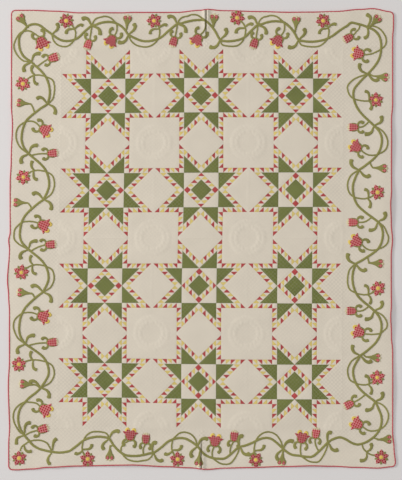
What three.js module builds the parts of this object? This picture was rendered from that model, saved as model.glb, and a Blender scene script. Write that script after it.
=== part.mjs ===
// A feathered-star bed quilt, spread flat and face up: one quilted body, whose star blocks stand up in
// low pillows between their seams, and a narrow folded binding in four strips round its uneven edge.
// Millimetres, +Z up, +Y towards the head end, with the underside on Z = 0.
import * as THREE from 'three';

// Outer edge: mean half sizes, and the radius of its soft corners
const HALF_WIDTH = 1101;
const HALF_LENGTH = 1314;
const CORNER_RADIUS = 30;
const CORNER_STEPS = 6;
const STATION_STEP = 62;

// How far each side strays outwards from its mean line. Columns: place along the side, stray.
const STRAY = {
  bottom: [[-1060, 14], [-971, 9], [-879, -1], [-718, -8], [-396, -15], [-189, -4], [-74, 2], [41, 11],
    [133, 4], [271, 1], [478, -5], [639, -10], [754, -7], [892, 0], [1018, 4], [1099, -4]],
  right: [[-1290, 20], [-1200, 12], [-1108, 4], [-648, 4], [-556, -3], [-441, -8], [-372, -4], [-96, -4],
    [-4, 3], [88, -4], [203, -8], [283, -3], [686, -3], [778, 4], [1146, 4], [1238, 9]],
  top: [[-971, 5], [-833, 0], [-695, -10], [-465, -10], [-373, -7], [-143, -7], [-5, 5], [41, 10],
    [133, 3], [340, -2], [512, -7], [627, -6], [777, -2], [915, 10], [984, 15], [1099, -4]],
  left: [[-1183, 7], [-1085, 2], [-832, 9], [-694, 2], [-418, 2], [-332, 7], [-234, 14], [-62, 2],
    [-4, 7], [42, -2], [318, -2], [462, -8], [663, -16], [778, -9], [1238, -9]],
};

// Soft ripples that lift the border. Columns: place along the side, half width, reach inwards, height.
const RIPPLES = {
  bottom: [[-400, 150, 130, 7], [640, 130, 130, 6], [-820, 110, 120, 4]],
  right: [[-440, 120, 170, 6], [205, 110, 160, 6], [560, 140, 150, 4], [-850, 120, 140, 3]],
  top: [[-580, 150, 130, 7], [560, 130, 130, 5], [830, 90, 120, 3]],
  left: [[663, 130, 190, 8], [250, 120, 150, 4], [-560, 140, 170, 5], [-960, 100, 130, 3]],
};
// The storage crease: a sharp valley between two ridges, at the middle of the head and foot ends
const CREASE = { at: { bottom: 3, top: 30 }, ridge: 9, half_width: 11, reach: 150, height: 6 };
const CREASE_STATIONS = [-48, -30, -20, -13, -7, 0, 7, 13, 20, 30, 48];
// The lifted cloth keeps its full height for this far in from the edge
const LEVEL_EDGE = 22;

// Pieced field: places of the blocks, and the side of one feather patch, which sizes the whole star.
// A feather strip is five patches long, and one more square patch turns its corner.
const COLUMNS = 3;
const ROWS = 4;
const COLUMN_PITCH = 543.5;
const ROW_PITCH = 547.5;
const FIELD_CENTRE = { x: -3, y: 6.6 };
const FEATHER = 27.7;
const STRIP_FEATHERS = 5;
// How far each star strays from the even grid, from the top row down. Columns: right, up, for the
// left, middle and right star of the row.
const STAR_STRAY = [
  [[14.6, -5.1], [4.2, 0.8], [4.8, -3.0]],
  [[4.1, 0.7], [5.0, 3.9], [4.4, 6.3]],
  [[-6.2, 0.3], [-8.8, 1.3], [-1.5, -1.2]],
  [[-6.8, 5.5], [-11.8, -3.3], [-2.1, -5.9]],
];

// Thickness of the quilted layers, measured up from the underside
const SEAM_RISE = 2.8;
const FEATHER_RISE = 4.8;
const PATCH_RISE = 5.4;
const BORDER_RISE = [4.6, 5.6, 5.0];
const BORDER_SHARE = [0, 0.4, 0.8];
const FEATHER_INSET = 8;
const PATCH_INSET = 11;
const CROWN_RISE = 0.5;

// Quilted wreath of a setting square. Columns: radius, scallop in and out, rise.
const WREATH = [[128, 0, 5.4], [103, 6, 3.4], [77, 0, 6.4], [50, 5, 3.4], [27, 0, 5.6]];
const WREATH_STEPS = 24;

// Binding: a folded strip that takes in the raw edge of the body
const BINDING_WIDTH = 7;
const BINDING_HEIGHT = 5;
const BINDING_WALL = 0.8;
const BINDING_ROUND = 1.2;
const BINDING_FOLD = 1.2;
const FIT_GAP = 0.3;
const RAW_EDGE_IN = BINDING_FOLD + FIT_GAP;
const RAW_EDGE_LOW = 1.5;
const RAW_EDGE_HIGH = 3.6;

// Points closer than this to a seam lie on it
const ON_SEAM = 0.05;

const half_field = { x: COLUMN_PITCH * COLUMNS / 2, y: ROW_PITCH * ROWS / 2 };
const notch = STRIP_FEATHERS * FEATHER;
const centre_half = notch - Math.SQRT2 * FEATHER;
const strip_out = centre_half + FEATHER;
const strip_end = centre_half + notch;
const star_tip = strip_end + FEATHER;
const diamond_half = centre_half - Math.SQRT2 * FEATHER;

// Value of a two-column table at a place, eased from row to row
function along_table(table, at) {
  const next = table.findIndex(([place]) => place > at);
  if (next === 0) return table[0][1];
  if (next < 0) return table[table.length - 1][1];
  const [[from, low], [to, high]] = [table[next - 1], table[next]];
  return THREE.MathUtils.lerp(low, high, THREE.MathUtils.smoothstep(at, from, to));
}

// Place of the outer edge at a point along one side
function edge_point(side, at) {
  const stray = along_table(STRAY[side], at);
  if (side === 'bottom') return new THREE.Vector2(at, -HALF_LENGTH - stray);
  if (side === 'top') return new THREE.Vector2(at, HALF_LENGTH + stray);
  if (side === 'left') return new THREE.Vector2(-HALF_WIDTH - stray, at);
  return new THREE.Vector2(HALF_WIDTH + stray, at);
}

// Height of the underside over the surface: ripples along the four sides and the storage crease
function lift(x, y) {
  const sides = {
    bottom: [x, y - edge_point('bottom', x).y],
    right: [y, edge_point('right', y).x - x],
    top: [x, edge_point('top', x).y - y],
    left: [y, x - edge_point('left', y).x],
  };
  let height = 0;
  for (const [side, [along, inward]] of Object.entries(sides)) {
    const fade = reach => 1 - THREE.MathUtils.smoothstep(inward, LEVEL_EDGE, LEVEL_EDGE + reach);
    for (const [at, half_width, reach, rise] of RIPPLES[side]) {
      height += rise * fade(reach) * Math.exp(-(((along - at) / half_width) ** 2));
    }
    if (side === 'bottom' || side === 'top') {
      const aside = Math.abs(along - CREASE.at[side]);
      const off = (aside - CREASE.ridge) / CREASE.half_width;
      const valley = THREE.MathUtils.smoothstep(aside, 0, CREASE.ridge);
      height += CREASE.height * fade(CREASE.reach) * valley * Math.exp(-(off ** 2));
    }
  }
  return height;
}

// Moves a point of the even layout as far as the stars round it stray
function strayed(x, y) {
  const column = THREE.MathUtils.clamp(x / COLUMN_PITCH + (COLUMNS - 1) / 2, 0, COLUMNS - 1);
  const row = THREE.MathUtils.clamp((ROWS - 1) / 2 - y / ROW_PITCH, 0, ROWS - 1);
  const left = Math.min(Math.floor(column), COLUMNS - 2);
  const upper = Math.min(Math.floor(row), ROWS - 2);
  const mixed = part => THREE.MathUtils.lerp(
    THREE.MathUtils.lerp(STAR_STRAY[upper][left][part], STAR_STRAY[upper][left + 1][part], column - left),
    THREE.MathUtils.lerp(STAR_STRAY[upper + 1][left][part], STAR_STRAY[upper + 1][left + 1][part],
      column - left),
    row - upper);
  return [x + FIELD_CENTRE.x + mixed(0), y + FIELD_CENTRE.y + mixed(1)];
}

// Stations round the outer edge, anticlockwise from the bottom left corner
function edge_stations() {
  const corner = (side_x, side_y) => {
    const right = side_x === 'right' ? 1 : -1;
    const up = side_y === 'top' ? 1 : -1;
    const { x } = edge_point(side_x, up * HALF_LENGTH);
    const { y } = edge_point(side_y, right * HALF_WIDTH);
    return new THREE.Vector2(x, y);
  };
  const runs = [
    ['bottom', corner('left', 'bottom').x, corner('right', 'bottom').x, corner('right', 'bottom')],
    ['right', corner('right', 'bottom').y, corner('right', 'top').y, corner('right', 'top')],
    ['top', corner('right', 'top').x, corner('left', 'top').x, corner('left', 'top')],
    ['left', corner('left', 'top').y, corner('left', 'bottom').y, corner('left', 'bottom')],
  ];
  const sides = runs.map(([side, from, to]) => {
    const step = Math.sign(to - from);
    const start = from + step * CORNER_RADIUS;
    const length = Math.abs(to - from) - 2 * CORNER_RADIUS;
    const count = Math.round(length / STATION_STEP);
    let places = Array.from({ length: count + 1 }, (_, i) => start + step * length * i / count);
    if (side === 'bottom' || side === 'top') {
      const clear = CREASE_STATIONS[CREASE_STATIONS.length - 1] + STATION_STEP / 4;
      places = places.filter(at => Math.abs(at - CREASE.at[side]) > clear);
      places.push(...CREASE_STATIONS.map(off => CREASE.at[side] + off));
      places.sort((a, b) => step * (a - b));
    }
    return places.map(at => ({ side, at: edge_point(side, at) }));
  });
  const stations = [];
  sides.forEach((side, k) => {
    const next = sides[(k + 1) % sides.length];
    const bend = new THREE.QuadraticBezierCurve(side[side.length - 1].at, runs[k][3], next[0].at);
    stations.push(...side);
    for (let i = 1; i < CORNER_STEPS; i += 1) {
      stations.push({ side: i < CORNER_STEPS / 2 ? runs[k][0] : next[0].side,
        corner: i === CORNER_STEPS / 2, at: bend.getPoint(i / CORNER_STEPS) });
    }
  });
  stations.forEach((station, i) => {
    const before = stations[(i + stations.length - 1) % stations.length].at;
    const after = stations[(i + 1) % stations.length].at;
    const along = after.clone().sub(before).normalize();
    station.along = along;
    station.inward = new THREE.Vector2(-along.y, along.x);
    station.lift = lift(station.at.x, station.at.y);
  });
  return stations;
}

// Patches of one star block in its own frame, each an anticlockwise ring of corners, with the ring that
// its crown is inset from
function star_patches() {
  const [c, g] = [centre_half, diamond_half];
  const [half_x, half_y] = [COLUMN_PITCH / 2, ROW_PITCH / 2];
  const sided = [
    { corners: [[0, c], [c, c], [c, 2 * c]], rise: PATCH_RISE, inset: PATCH_INSET },
    { corners: [[0, c], [c, 2 * c], [c, strip_end], [0, notch]], rise: FEATHER_RISE, inset: FEATHER_INSET },
    { corners: [[c, c], [strip_out, strip_out], [strip_out, star_tip], [c, strip_end]],
      rise: FEATHER_RISE, inset: FEATHER_INSET },
  ];
  const plain = [
    { corners: [[c, 0], [c, c], [0, c]], rise: PATCH_RISE, inset: PATCH_INSET },
    { corners: [[c, 0], [0, c], [0, g], [g, 0]], rise: FEATHER_RISE, inset: FEATHER_INSET },
  ];
  const flipped = ring => ring.map(([x, y]) => [-x, y]).reverse();
  const mirrored = sided.map(patch => ({ ...patch, corners: flipped(patch.corners) }));
  const diamond = [[g, 0], [0, g], [-g, 0], [0, -g]];
  const patches = [{ corners: diamond, crown: diamond, rise: PATCH_RISE, inset: PATCH_INSET }];
  for (let turn = 0; turn < 4; turn += 1) {
    const [cos, sin] = [[1, 0], [0, 1], [-1, 0], [0, -1]][turn];
    const half = turn % 2 ? half_x : half_y;
    const turned = ring => ring.map(([x, y]) => [x * cos - y * sin, x * sin + y * cos]);
    const ground = {
      corners: [[0, notch], [strip_out, star_tip], [strip_out, half], [-strip_out, half],
        [-strip_out, star_tip]],
      crown: [[0, notch], [half - notch, half], [notch - half, half]],
      rise: PATCH_RISE,
      inset: PATCH_INSET,
    };
    for (const patch of [...sided, ...mirrored, ...plain, ground]) {
      patches.push({ ...patch, corners: turned(patch.corners), crown: turned(patch.crown ?? patch.corners) });
    }
  }
  return patches;
}

// All patches of the pieced field in the even layout: star blocks, then whole and part setting squares
function field_patches() {
  const patches = [];
  for (let column = 0; column < COLUMNS; column += 1) {
    for (let row = 0; row < ROWS; row += 1) {
      const centre = [(column - (COLUMNS - 1) / 2) * COLUMN_PITCH, ((ROWS - 1) / 2 - row) * ROW_PITCH];
      const placed = ring => ring.map(([x, y]) => [x + centre[0], y + centre[1]]);
      for (const patch of star_patches()) {
        patches.push({ ...patch, corners: placed(patch.corners), crown: placed(patch.crown) });
      }
    }
  }
  const half_square = [COLUMN_PITCH / 2 - strip_out, ROW_PITCH / 2 - strip_out];
  for (let column = 0; column <= COLUMNS; column += 1) {
    for (let row = 0; row <= ROWS; row += 1) {
      const centre = [column * COLUMN_PITCH - half_field.x, half_field.y - row * ROW_PITCH];
      const [west, east] = [column > 0 ? half_square[0] : 0, column < COLUMNS ? half_square[0] : 0];
      const [north, south] = [row > 0 ? half_square[1] : 0, row < ROWS ? half_square[1] : 0];
      const corners = [[-west, -south], [east, -south], [east, north], [-west, north]]
        .map(([x, y]) => [x + centre[0], y + centre[1]]);
      const whole = west * east * north * south > 0;
      const wreath = whole ? centre : null;
      patches.push({ corners, crown: corners, rise: PATCH_RISE, inset: PATCH_INSET, wreath });
    }
  }
  return patches;
}

// Corners of a convex ring moved inwards by a distance
function inset_ring(corners, distance) {
  const lines = corners.map(([x, y], i) => {
    const [to_x, to_y] = corners[(i + 1) % corners.length];
    const length = Math.hypot(to_x - x, to_y - y);
    const normal = [-(to_y - y) / length, (to_x - x) / length];
    return { normal, offset: normal[0] * x + normal[1] * y + distance };
  });
  return corners.map((_, i) => {
    const [a, b] = [lines[(i + lines.length - 1) % lines.length], lines[i]];
    const cross = a.normal[0] * b.normal[1] - a.normal[1] * b.normal[0];
    return [(a.offset * b.normal[1] - b.offset * a.normal[1]) / cross,
      (b.offset * a.normal[0] - a.offset * b.normal[0]) / cross];
  });
}

// A solid under construction: vertices, and triangles by vertex number
class Skin {
  constructor() {
    this.vertices = [];
    this.triangles = [];
  }

  add(x, y, z) {
    this.vertices.push([x, y, z]);
    return this.vertices.length - 1;
  }

  gap(a, b) {
    const [from, to] = [this.vertices[a], this.vertices[b]];
    return Math.hypot(from[0] - to[0], from[1] - to[1]);
  }

  // Joins a ring to a ring inside it, both anticlockwise, by the shorter cross edge each time
  bridge(outer, inner) {
    const nearest = inner.reduce((best, id, j) => (
      this.gap(id, outer[0]) < this.gap(inner[best], outer[0]) ? j : best), 0);
    let [i, j] = [0, 0];
    const at_outer = k => outer[k % outer.length];
    const at_inner = k => inner[(nearest + k) % inner.length];
    while (i < outer.length || j < inner.length) {
      const step_outer = j === inner.length || (i < outer.length
        && this.gap(at_outer(i + 1), at_inner(j)) <= this.gap(at_outer(i), at_inner(j + 1)));
      if (step_outer) {
        this.triangles.push([at_outer(i), at_outer(i + 1), at_inner(j)]);
        i += 1;
      } else {
        this.triangles.push([at_inner(j + 1), at_inner(j), at_outer(i)]);
        j += 1;
      }
    }
  }

  // Joins two rings of as many vertices, one to one, with quads
  band(outer, inner) {
    outer.forEach((id, i) => {
      const next = (i + 1) % outer.length;
      this.triangles.push([id, outer[next], inner[next]], [id, inner[next], inner[i]]);
    });
  }

  // Fills a ring with a fan round one more vertex
  fan(ring, hub) {
    ring.forEach((id, i) => this.triangles.push([id, ring[(i + 1) % ring.length], hub]));
  }

  geometry() {
    const geometry = new THREE.BufferGeometry();
    geometry.setAttribute('position', new THREE.Float32BufferAttribute(this.vertices.flat(), 3));
    geometry.setIndex(this.triangles.flat());
    geometry.computeVertexNormals();
    return geometry;
  }
}

// Raises the pieced field in pillows between its seams, and returns its outer ring
function add_field(skin) {
  const patches = field_patches();
  const seam_ids = new Map();
  const key = ([x, y]) => `${Math.round(x * 100)},${Math.round(y * 100)}`;
  const raised = (x, y, rise) => {
    const [moved_x, moved_y] = strayed(x, y);
    return skin.add(moved_x, moved_y, lift(moved_x, moved_y) + rise);
  };
  const seam_points = [...new Map(patches.flatMap(patch => patch.corners).map(at => [key(at), at])).values()];
  seam_points.forEach(at => seam_ids.set(key(at), raised(at[0], at[1], SEAM_RISE)));

  const after = new Map();
  for (const patch of patches) {
    const ring = [];
    patch.corners.forEach((from, i) => {
      const to = patch.corners[(i + 1) % patch.corners.length];
      const length = Math.hypot(to[0] - from[0], to[1] - from[1]);
      const way = [(to[0] - from[0]) / length, (to[1] - from[1]) / length];
      const between = seam_points.map(at => {
        const [x, y] = [at[0] - from[0], at[1] - from[1]];
        return { at, along: x * way[0] + y * way[1], off: Math.abs(x * way[1] - y * way[0]) };
      }).filter(({ along, off }) => off < ON_SEAM && along > ON_SEAM && along < length - ON_SEAM);
      between.sort((a, b) => a.along - b.along);
      ring.push(seam_ids.get(key(from)), ...between.map(({ at }) => seam_ids.get(key(at))));
    });
    ring.forEach((id, i) => {
      const next = ring[(i + 1) % ring.length];
      if (!after.get(id)) after.set(id, new Set());
      after.get(id).add(next);
    });

    const top = inset_ring(patch.crown, patch.inset);
    const middle = top.reduce(([x, y], at) => [x + at[0] / top.length, y + at[1] / top.length], [0, 0]);
    let last = ring;
    if (patch.wreath) {
      WREATH.forEach(([radius, scallop, rise]) => {
        const loop = Array.from({ length: WREATH_STEPS }, (_, i) => {
          const angle = (i + 0.5) / WREATH_STEPS * 2 * Math.PI;
          const reach = radius + (i % 2 ? scallop : -scallop);
          const [x, y] = patch.wreath;
          return raised(x + reach * Math.cos(angle), y + reach * Math.sin(angle), rise);
        });
        skin.bridge(last, loop);
        last = loop;
      });
    } else {
      const loop = top.map(([x, y]) => raised(x, y, patch.rise));
      skin.bridge(ring, loop);
      last = loop;
    }
    skin.fan(last, raised(middle[0], middle[1], patch.rise + CROWN_RISE));
  }

  const outer_next = new Map();
  for (const [id, nexts] of after) {
    for (const next of nexts) {
      if (!after.get(next)?.has(id)) outer_next.set(id, next);
    }
  }
  const ring = [outer_next.keys().next().value];
  while (outer_next.get(ring[ring.length - 1]) !== ring[0]) ring.push(outer_next.get(ring[ring.length - 1]));
  return ring;
}

// The quilted body: pieced field, border, raw edge and flat underside
function quilt_body(stations) {
  const skin = new Skin();
  const shrink = { x: half_field.x / HALF_WIDTH, y: half_field.y / HALF_LENGTH };
  const inside = (station, distance) => station.at.clone().addScaledVector(station.inward, distance);
  const ring_at = (station, share) => inside(station, LEVEL_EDGE).lerp(new THREE.Vector2(
    FIELD_CENTRE.x + station.at.x * shrink.x, FIELD_CENTRE.y + station.at.y * shrink.y), share);
  const border_ring = (share, rise) => stations.map(station => {
    const { x, y } = ring_at(station, share);
    return skin.add(x, y, (share ? lift(x, y) : station.lift) + rise);
  });
  const raw_ring = rise => stations.map(station => {
    const { x, y } = inside(station, RAW_EDGE_IN);
    return skin.add(x, y, station.lift + rise);
  });

  const raw_top = raw_ring(RAW_EDGE_HIGH);
  const raw_under = raw_ring(RAW_EDGE_LOW);
  const top_rings = BORDER_SHARE.map((share, k) => border_ring(share, BORDER_RISE[k]));
  skin.band(raw_top, top_rings[0]);
  skin.band(top_rings[0], top_rings[1]);
  skin.band(top_rings[1], top_rings[2]);
  skin.bridge(top_rings[2], add_field(skin));

  const outward = skin.triangles.length;
  const under_rings = BORDER_SHARE.map(share => border_ring(share, 0));
  skin.band(raw_under, under_rings[0]);
  skin.band(under_rings[0], under_rings[1]);
  skin.band(under_rings[1], under_rings[2]);
  skin.fan(under_rings[2], skin.add(0, 0, 0));
  skin.triangles.slice(outward).forEach(triangle => triangle.reverse());
  skin.band(raw_under, raw_top);
  return skin.geometry();
}

// Section of the folded binding. Columns: distance inwards from the outer edge, height.
function binding_section() {
  const [width, height, wall, round] = [BINDING_WIDTH, BINDING_HEIGHT, BINDING_WALL, BINDING_ROUND];
  const fold = BINDING_FOLD;
  return [[round, 0], [width, 0], [width, wall], [fold, wall], [fold, height - wall], [width, height - wall],
    [width, height], [round, height], [0, height - round], [0, round]];
}

// One strip of the binding, from the middle of one corner to the middle of the next
function binding_strip(stations, first, last) {
  const skin = new Skin();
  const section = binding_section();
  const loops = [];
  for (let i = first; i <= last; i += 1) {
    const station = stations[i % stations.length];
    const end_shift = (i === first ? FIT_GAP : 0) - (i === last ? FIT_GAP : 0);
    const foot = station.at.clone().addScaledVector(station.along, end_shift / 2);
    loops.push(section.map(([inward, height]) => {
      const { x, y } = foot.clone().addScaledVector(station.inward, inward);
      return skin.add(x, y, station.lift + height);
    }));
  }
  for (let k = 0; k + 1 < loops.length; k += 1) {
    section.forEach((_, i) => {
      const next = (i + 1) % section.length;
      const [a, b, c, d] = [loops[k][i], loops[k + 1][i], loops[k + 1][next], loops[k][next]];
      skin.triangles.push([a, c, b], [a, d, c]);
    });
  }
  const cap = THREE.ShapeUtils.triangulateShape(section.map(at => new THREE.Vector2(...at)), []);
  const end = loops[loops.length - 1];
  for (const [a, b, c] of cap) {
    skin.triangles.push([loops[0][c], loops[0][b], loops[0][a]], [end[a], end[b], end[c]]);
  }
  return skin.geometry();
}

const cotton = new THREE.MeshStandardMaterial({ color: '#d1c8b5', roughness: 0.92, metalness: 0 });
const red_cotton = new THREE.MeshStandardMaterial({ color: '#a83f45', roughness: 0.9, metalness: 0 });

const stations = edge_stations();
const quilt = new THREE.Group();
const body = new THREE.Mesh(quilt_body(stations), cotton);
body.name = 'quilt_body';
quilt.add(body);

const corners = stations.flatMap((station, i) => (station.corner ? [i] : []));
['right', 'top', 'left', 'bottom'].forEach((side, k) => {
  const last = k < 3 ? corners[k + 1] : corners[0] + stations.length;
  const strip = new THREE.Mesh(binding_strip(stations, corners[k], last), red_cotton);
  strip.name = `binding_${side}`;
  quilt.add(strip);
});

// The middle of the outline stands over the origin
const box = new THREE.Box3().setFromObject(quilt);
quilt.position.set(-(box.min.x + box.max.x) / 2, -(box.min.y + box.max.y) / 2, -box.min.z);

export default quilt;
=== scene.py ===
import math

import bpy
import numpy as np
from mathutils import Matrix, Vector
from mathutils.geometry import delaunay_2d_cdt


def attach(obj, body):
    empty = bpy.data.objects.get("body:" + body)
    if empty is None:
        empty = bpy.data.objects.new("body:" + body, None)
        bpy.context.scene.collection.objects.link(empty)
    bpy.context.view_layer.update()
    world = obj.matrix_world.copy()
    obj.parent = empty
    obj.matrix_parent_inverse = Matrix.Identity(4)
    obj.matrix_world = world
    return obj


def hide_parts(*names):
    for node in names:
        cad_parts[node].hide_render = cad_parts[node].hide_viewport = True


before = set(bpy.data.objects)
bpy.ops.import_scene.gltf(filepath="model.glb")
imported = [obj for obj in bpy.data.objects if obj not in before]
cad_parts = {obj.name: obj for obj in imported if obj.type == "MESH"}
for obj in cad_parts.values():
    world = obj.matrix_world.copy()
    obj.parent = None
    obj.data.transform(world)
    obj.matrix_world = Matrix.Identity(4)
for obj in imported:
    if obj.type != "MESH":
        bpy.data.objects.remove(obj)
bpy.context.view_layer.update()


# Studio: a plain pale floor, a camera straight above the quilt, and soft light.
# The light comes mostly from above, with a lamp and a soft sun low on the left that bring out the quilting.
def linear(hex_colour):
    channels = [int(hex_colour[k:k + 2], 16) / 255 for k in (1, 3, 5)]
    bent = [c / 12.92 if c <= 0.04045 else ((c + 0.055) / 1.055) ** 2.4 for c in channels]
    return (*bent, 1.0)


CAMERA_HEIGHT = 6.0
FRAME_HEIGHT = 2.760
FRAME_CENTRE = (-0.0026, -0.0037)
camera_data = bpy.data.cameras.new("camera")
camera_data.sensor_width = 36
camera_data.lens = 36 * CAMERA_HEIGHT / FRAME_HEIGHT
camera = bpy.data.objects.new("camera", camera_data)
camera.location = (*FRAME_CENTRE, CAMERA_HEIGHT)
bpy.context.collection.objects.link(camera)
bpy.context.scene.camera = camera

bpy.ops.object.select_all(action="DESELECT")
bpy.ops.mesh.primitive_plane_add(size=14)
floor = bpy.context.object
floor.name = "floor"
floor.data.transform(floor.matrix_world.Translation((0, 0, -0.0008)))
floor_paint = bpy.data.materials.new("matt_floor_paint")
floor_paint.use_nodes = True
shader = floor_paint.node_tree.nodes["Principled BSDF"]
shader.inputs["Base Color"].default_value = linear("#eae6e4")
shader.inputs["Roughness"].default_value = 0.9
shader.inputs["Specular IOR Level"].default_value = 0.1
floor.data.materials.append(floor_paint)

world = bpy.data.worlds.new("studio")
world.use_nodes = True
world.node_tree.nodes["Background"].inputs["Color"].default_value = linear("#ffffff")
world.node_tree.nodes["Background"].inputs["Strength"].default_value = 0.34
bpy.context.scene.world = world
bpy.context.scene.view_settings.view_transform = "Standard"
SUN_POWER, SUN_WAY, SUN_SPREAD = 1.6, (0.85, -0.25, -0.3), 12
# Columns: name, place in metres, aim, side in metres, power in watts
LAMPS = [
    ("lamp_overhead", (-1.2, 0.2, 12.0), (0, 0, 0), 8.0, 396),
    ("lamp_left", (-4.6, 1.4, 1.9), (0.4, -0.1, 0), 1.6, 48),
]


def add_light(name, kind, power, place, way):
    light = bpy.data.lights.new(name, kind)
    light.energy = power
    holder = bpy.data.objects.new(name, light)
    holder.location = place
    holder.rotation_euler = Vector(way).to_track_quat("-Z", "Y").to_euler()
    bpy.context.collection.objects.link(holder)
    return light


for name, place, aim, side, power in LAMPS:
    add_light(name, "AREA", power, place, Vector(aim) - Vector(place)).size = side
add_light("low_sun", "SUN", SUN_POWER, (0, 0, 0), SUN_WAY).angle = math.radians(SUN_SPREAD)


# Star blocks: twelve feathered stars of plain and printed dress cotton, hand pieced on a cream ground.
# Each has a green diamond in a ring of small triangles, eight green points and sixteen feather strips,
# and is quilted through thin cotton filling, so every patch stands up between its seams.
# Lengths in these sections are millimetres, and turn to metres when a mesh is made.
HALF_WIDTH, HALF_LENGTH = 1101, 1314
HALF_SIZE = (HALF_WIDTH, HALF_LENGTH)
# Sides of the quilt, anticlockwise: the axis across each, and which way along it is outwards
SIDES = {"bottom": (1, -1), "right": (0, 1), "top": (1, 1), "left": (0, -1)}
CORNER_RADIUS = 30
LEVEL_EDGE = 22
FIELD_CENTRE = (-3, 6.6)
COLUMNS, ROWS = 3, 4
COLUMN_PITCH, ROW_PITCH = 543.5, 547.5
FEATHER = 27.7

# How far each side of the quilt strays outwards. Columns: place along the side, stray.
STRAY = {
    "bottom": [(-1060, 14), (-971, 9), (-879, -1), (-718, -8), (-396, -15), (-189, -4), (-74, 2), (41, 11),
               (133, 4), (271, 1), (478, -5), (639, -10), (754, -7), (892, 0), (1018, 4), (1099, -4)],
    "right": [(-1290, 20), (-1200, 12), (-1108, 4), (-648, 4), (-556, -3), (-441, -8), (-372, -4), (-96, -4),
              (-4, 3), (88, -4), (203, -8), (283, -3), (686, -3), (778, 4), (1146, 4), (1238, 9)],
    "top": [(-971, 5), (-833, 0), (-695, -10), (-465, -10), (-373, -7), (-143, -7), (-5, 5), (41, 10),
            (133, 3), (340, -2), (512, -7), (627, -6), (777, -2), (915, 10), (984, 15), (1099, -4)],
    "left": [(-1183, 7), (-1085, 2), (-832, 9), (-694, 2), (-418, 2), (-332, 7), (-234, 14), (-62, 2),
             (-4, 7), (42, -2), (318, -2), (462, -8), (663, -16), (778, -9), (1238, -9)],
}
# Ripples that lift the border. Columns: place along the side, half width, reach inwards, height.
RIPPLES = {
    "bottom": [(-400, 150, 130, 7), (640, 130, 130, 6), (-820, 110, 120, 4)],
    "right": [(-440, 120, 170, 6), (205, 110, 160, 6), (560, 140, 150, 4), (-850, 120, 140, 3)],
    "top": [(-580, 150, 130, 7), (560, 130, 130, 5), (830, 90, 120, 3)],
    "left": [(663, 130, 190, 8), (250, 120, 150, 4), (-560, 140, 170, 5), (-960, 100, 130, 3)],
}
CREASE_AT = {"bottom": 3, "top": 30}
CREASE_RIDGE, CREASE_HALF, CREASE_REACH, CREASE_HEIGHT = 9, 11, 150, 6
# How far each star strays from the even grid, row by row from the top. Columns: right, up.
STAR_STRAY = np.array([
    [(14.6, -5.1), (4.2, 0.8), (4.8, -3.0)],
    [(4.1, 0.7), (5.0, 3.9), (4.4, 6.3)],
    [(-6.2, 0.3), (-8.8, 1.3), (-1.5, -1.2)],
    [(-6.8, 5.5), (-11.8, -3.3), (-2.1, -5.9)],
])


def eased(x, low, high):
    t = np.clip((np.asarray(x, float) - low) / (high - low), 0, 1)
    return t * t * (3 - 2 * t)


def stray(side, at):
    places, strays = np.array(STRAY[side], float).T
    at = np.clip(at, places[0], places[-1])
    row = np.clip(np.searchsorted(places, at, side="right") - 1, 0, len(places) - 2)
    t = (at - places[row]) / (places[row + 1] - places[row])
    return strays[row] + (strays[row + 1] - strays[row]) * t * t * (3 - 2 * t)


# For each side, places along it and distances in from the edge
def inward_of_sides(at):
    gaps = {}
    for side, (axis, out) in SIDES.items():
        along = at[..., 1 - axis]
        gaps[side] = along, HALF_SIZE[axis] + stray(side, along) - out * at[..., axis]
    return gaps


# Height of the underside over the floor: the border's ripples and the storage crease
def lift(at):
    height = np.zeros(len(at))
    for side, (along, inward) in inward_of_sides(at).items():
        for middle, half_width, reach, rise in RIPPLES[side]:
            fade = 1 - eased(inward, LEVEL_EDGE, LEVEL_EDGE + reach)
            height += rise * fade * np.exp(-((along - middle) / half_width) ** 2)
        if side in CREASE_AT:
            off = np.abs(along - CREASE_AT[side])
            fade = 1 - eased(inward, LEVEL_EDGE, LEVEL_EDGE + CREASE_REACH)
            ridge = np.exp(-((off - CREASE_RIDGE) / CREASE_HALF) ** 2)
            height += CREASE_HEIGHT * fade * eased(off, 0, CREASE_RIDGE) * ridge
    return height


# Painted shadow along the storage crease, darkest on its line, with some dust in it, from none to full
CREASE_SHADE_HALF, CREASE_SHADE_DARKEST, CREASE_SHADE_FADES = 4.5, 0.85, (140, 190)


def crease_shade_and_dust(at):
    dark = np.zeros(len(at))
    for side, (along, inward) in inward_of_sides(at).items():
        if side in CREASE_AT:
            line = np.exp(-((along - CREASE_AT[side]) / CREASE_SHADE_HALF) ** 2)
            dark = np.maximum(dark, CREASE_SHADE_DARKEST * line * (1 - eased(inward, *CREASE_SHADE_FADES)))
    return dark


# How far the cloth is pulled out of the even layout at a place
def drift(even):
    column = np.clip(even[:, 0] / COLUMN_PITCH + (COLUMNS - 1) / 2, 0, COLUMNS - 1)
    row = np.clip((ROWS - 1) / 2 - even[:, 1] / ROW_PITCH, 0, ROWS - 1)
    left = np.minimum(column.astype(int), COLUMNS - 2)
    upper = np.minimum(row.astype(int), ROWS - 2)
    across, down = (column - left)[:, None], (row - upper)[:, None]
    high = STAR_STRAY[upper, left] * (1 - across) + STAR_STRAY[upper, left + 1] * across
    low = STAR_STRAY[upper + 1, left] * (1 - across) + STAR_STRAY[upper + 1, left + 1] * across
    return high * (1 - down) + low * down + FIELD_CENTRE


# Even layout from the real place, the other way round
def evened(at):
    even = at - FIELD_CENTRE
    for _ in range(3):
        even = at - drift(even)
    return even


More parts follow.
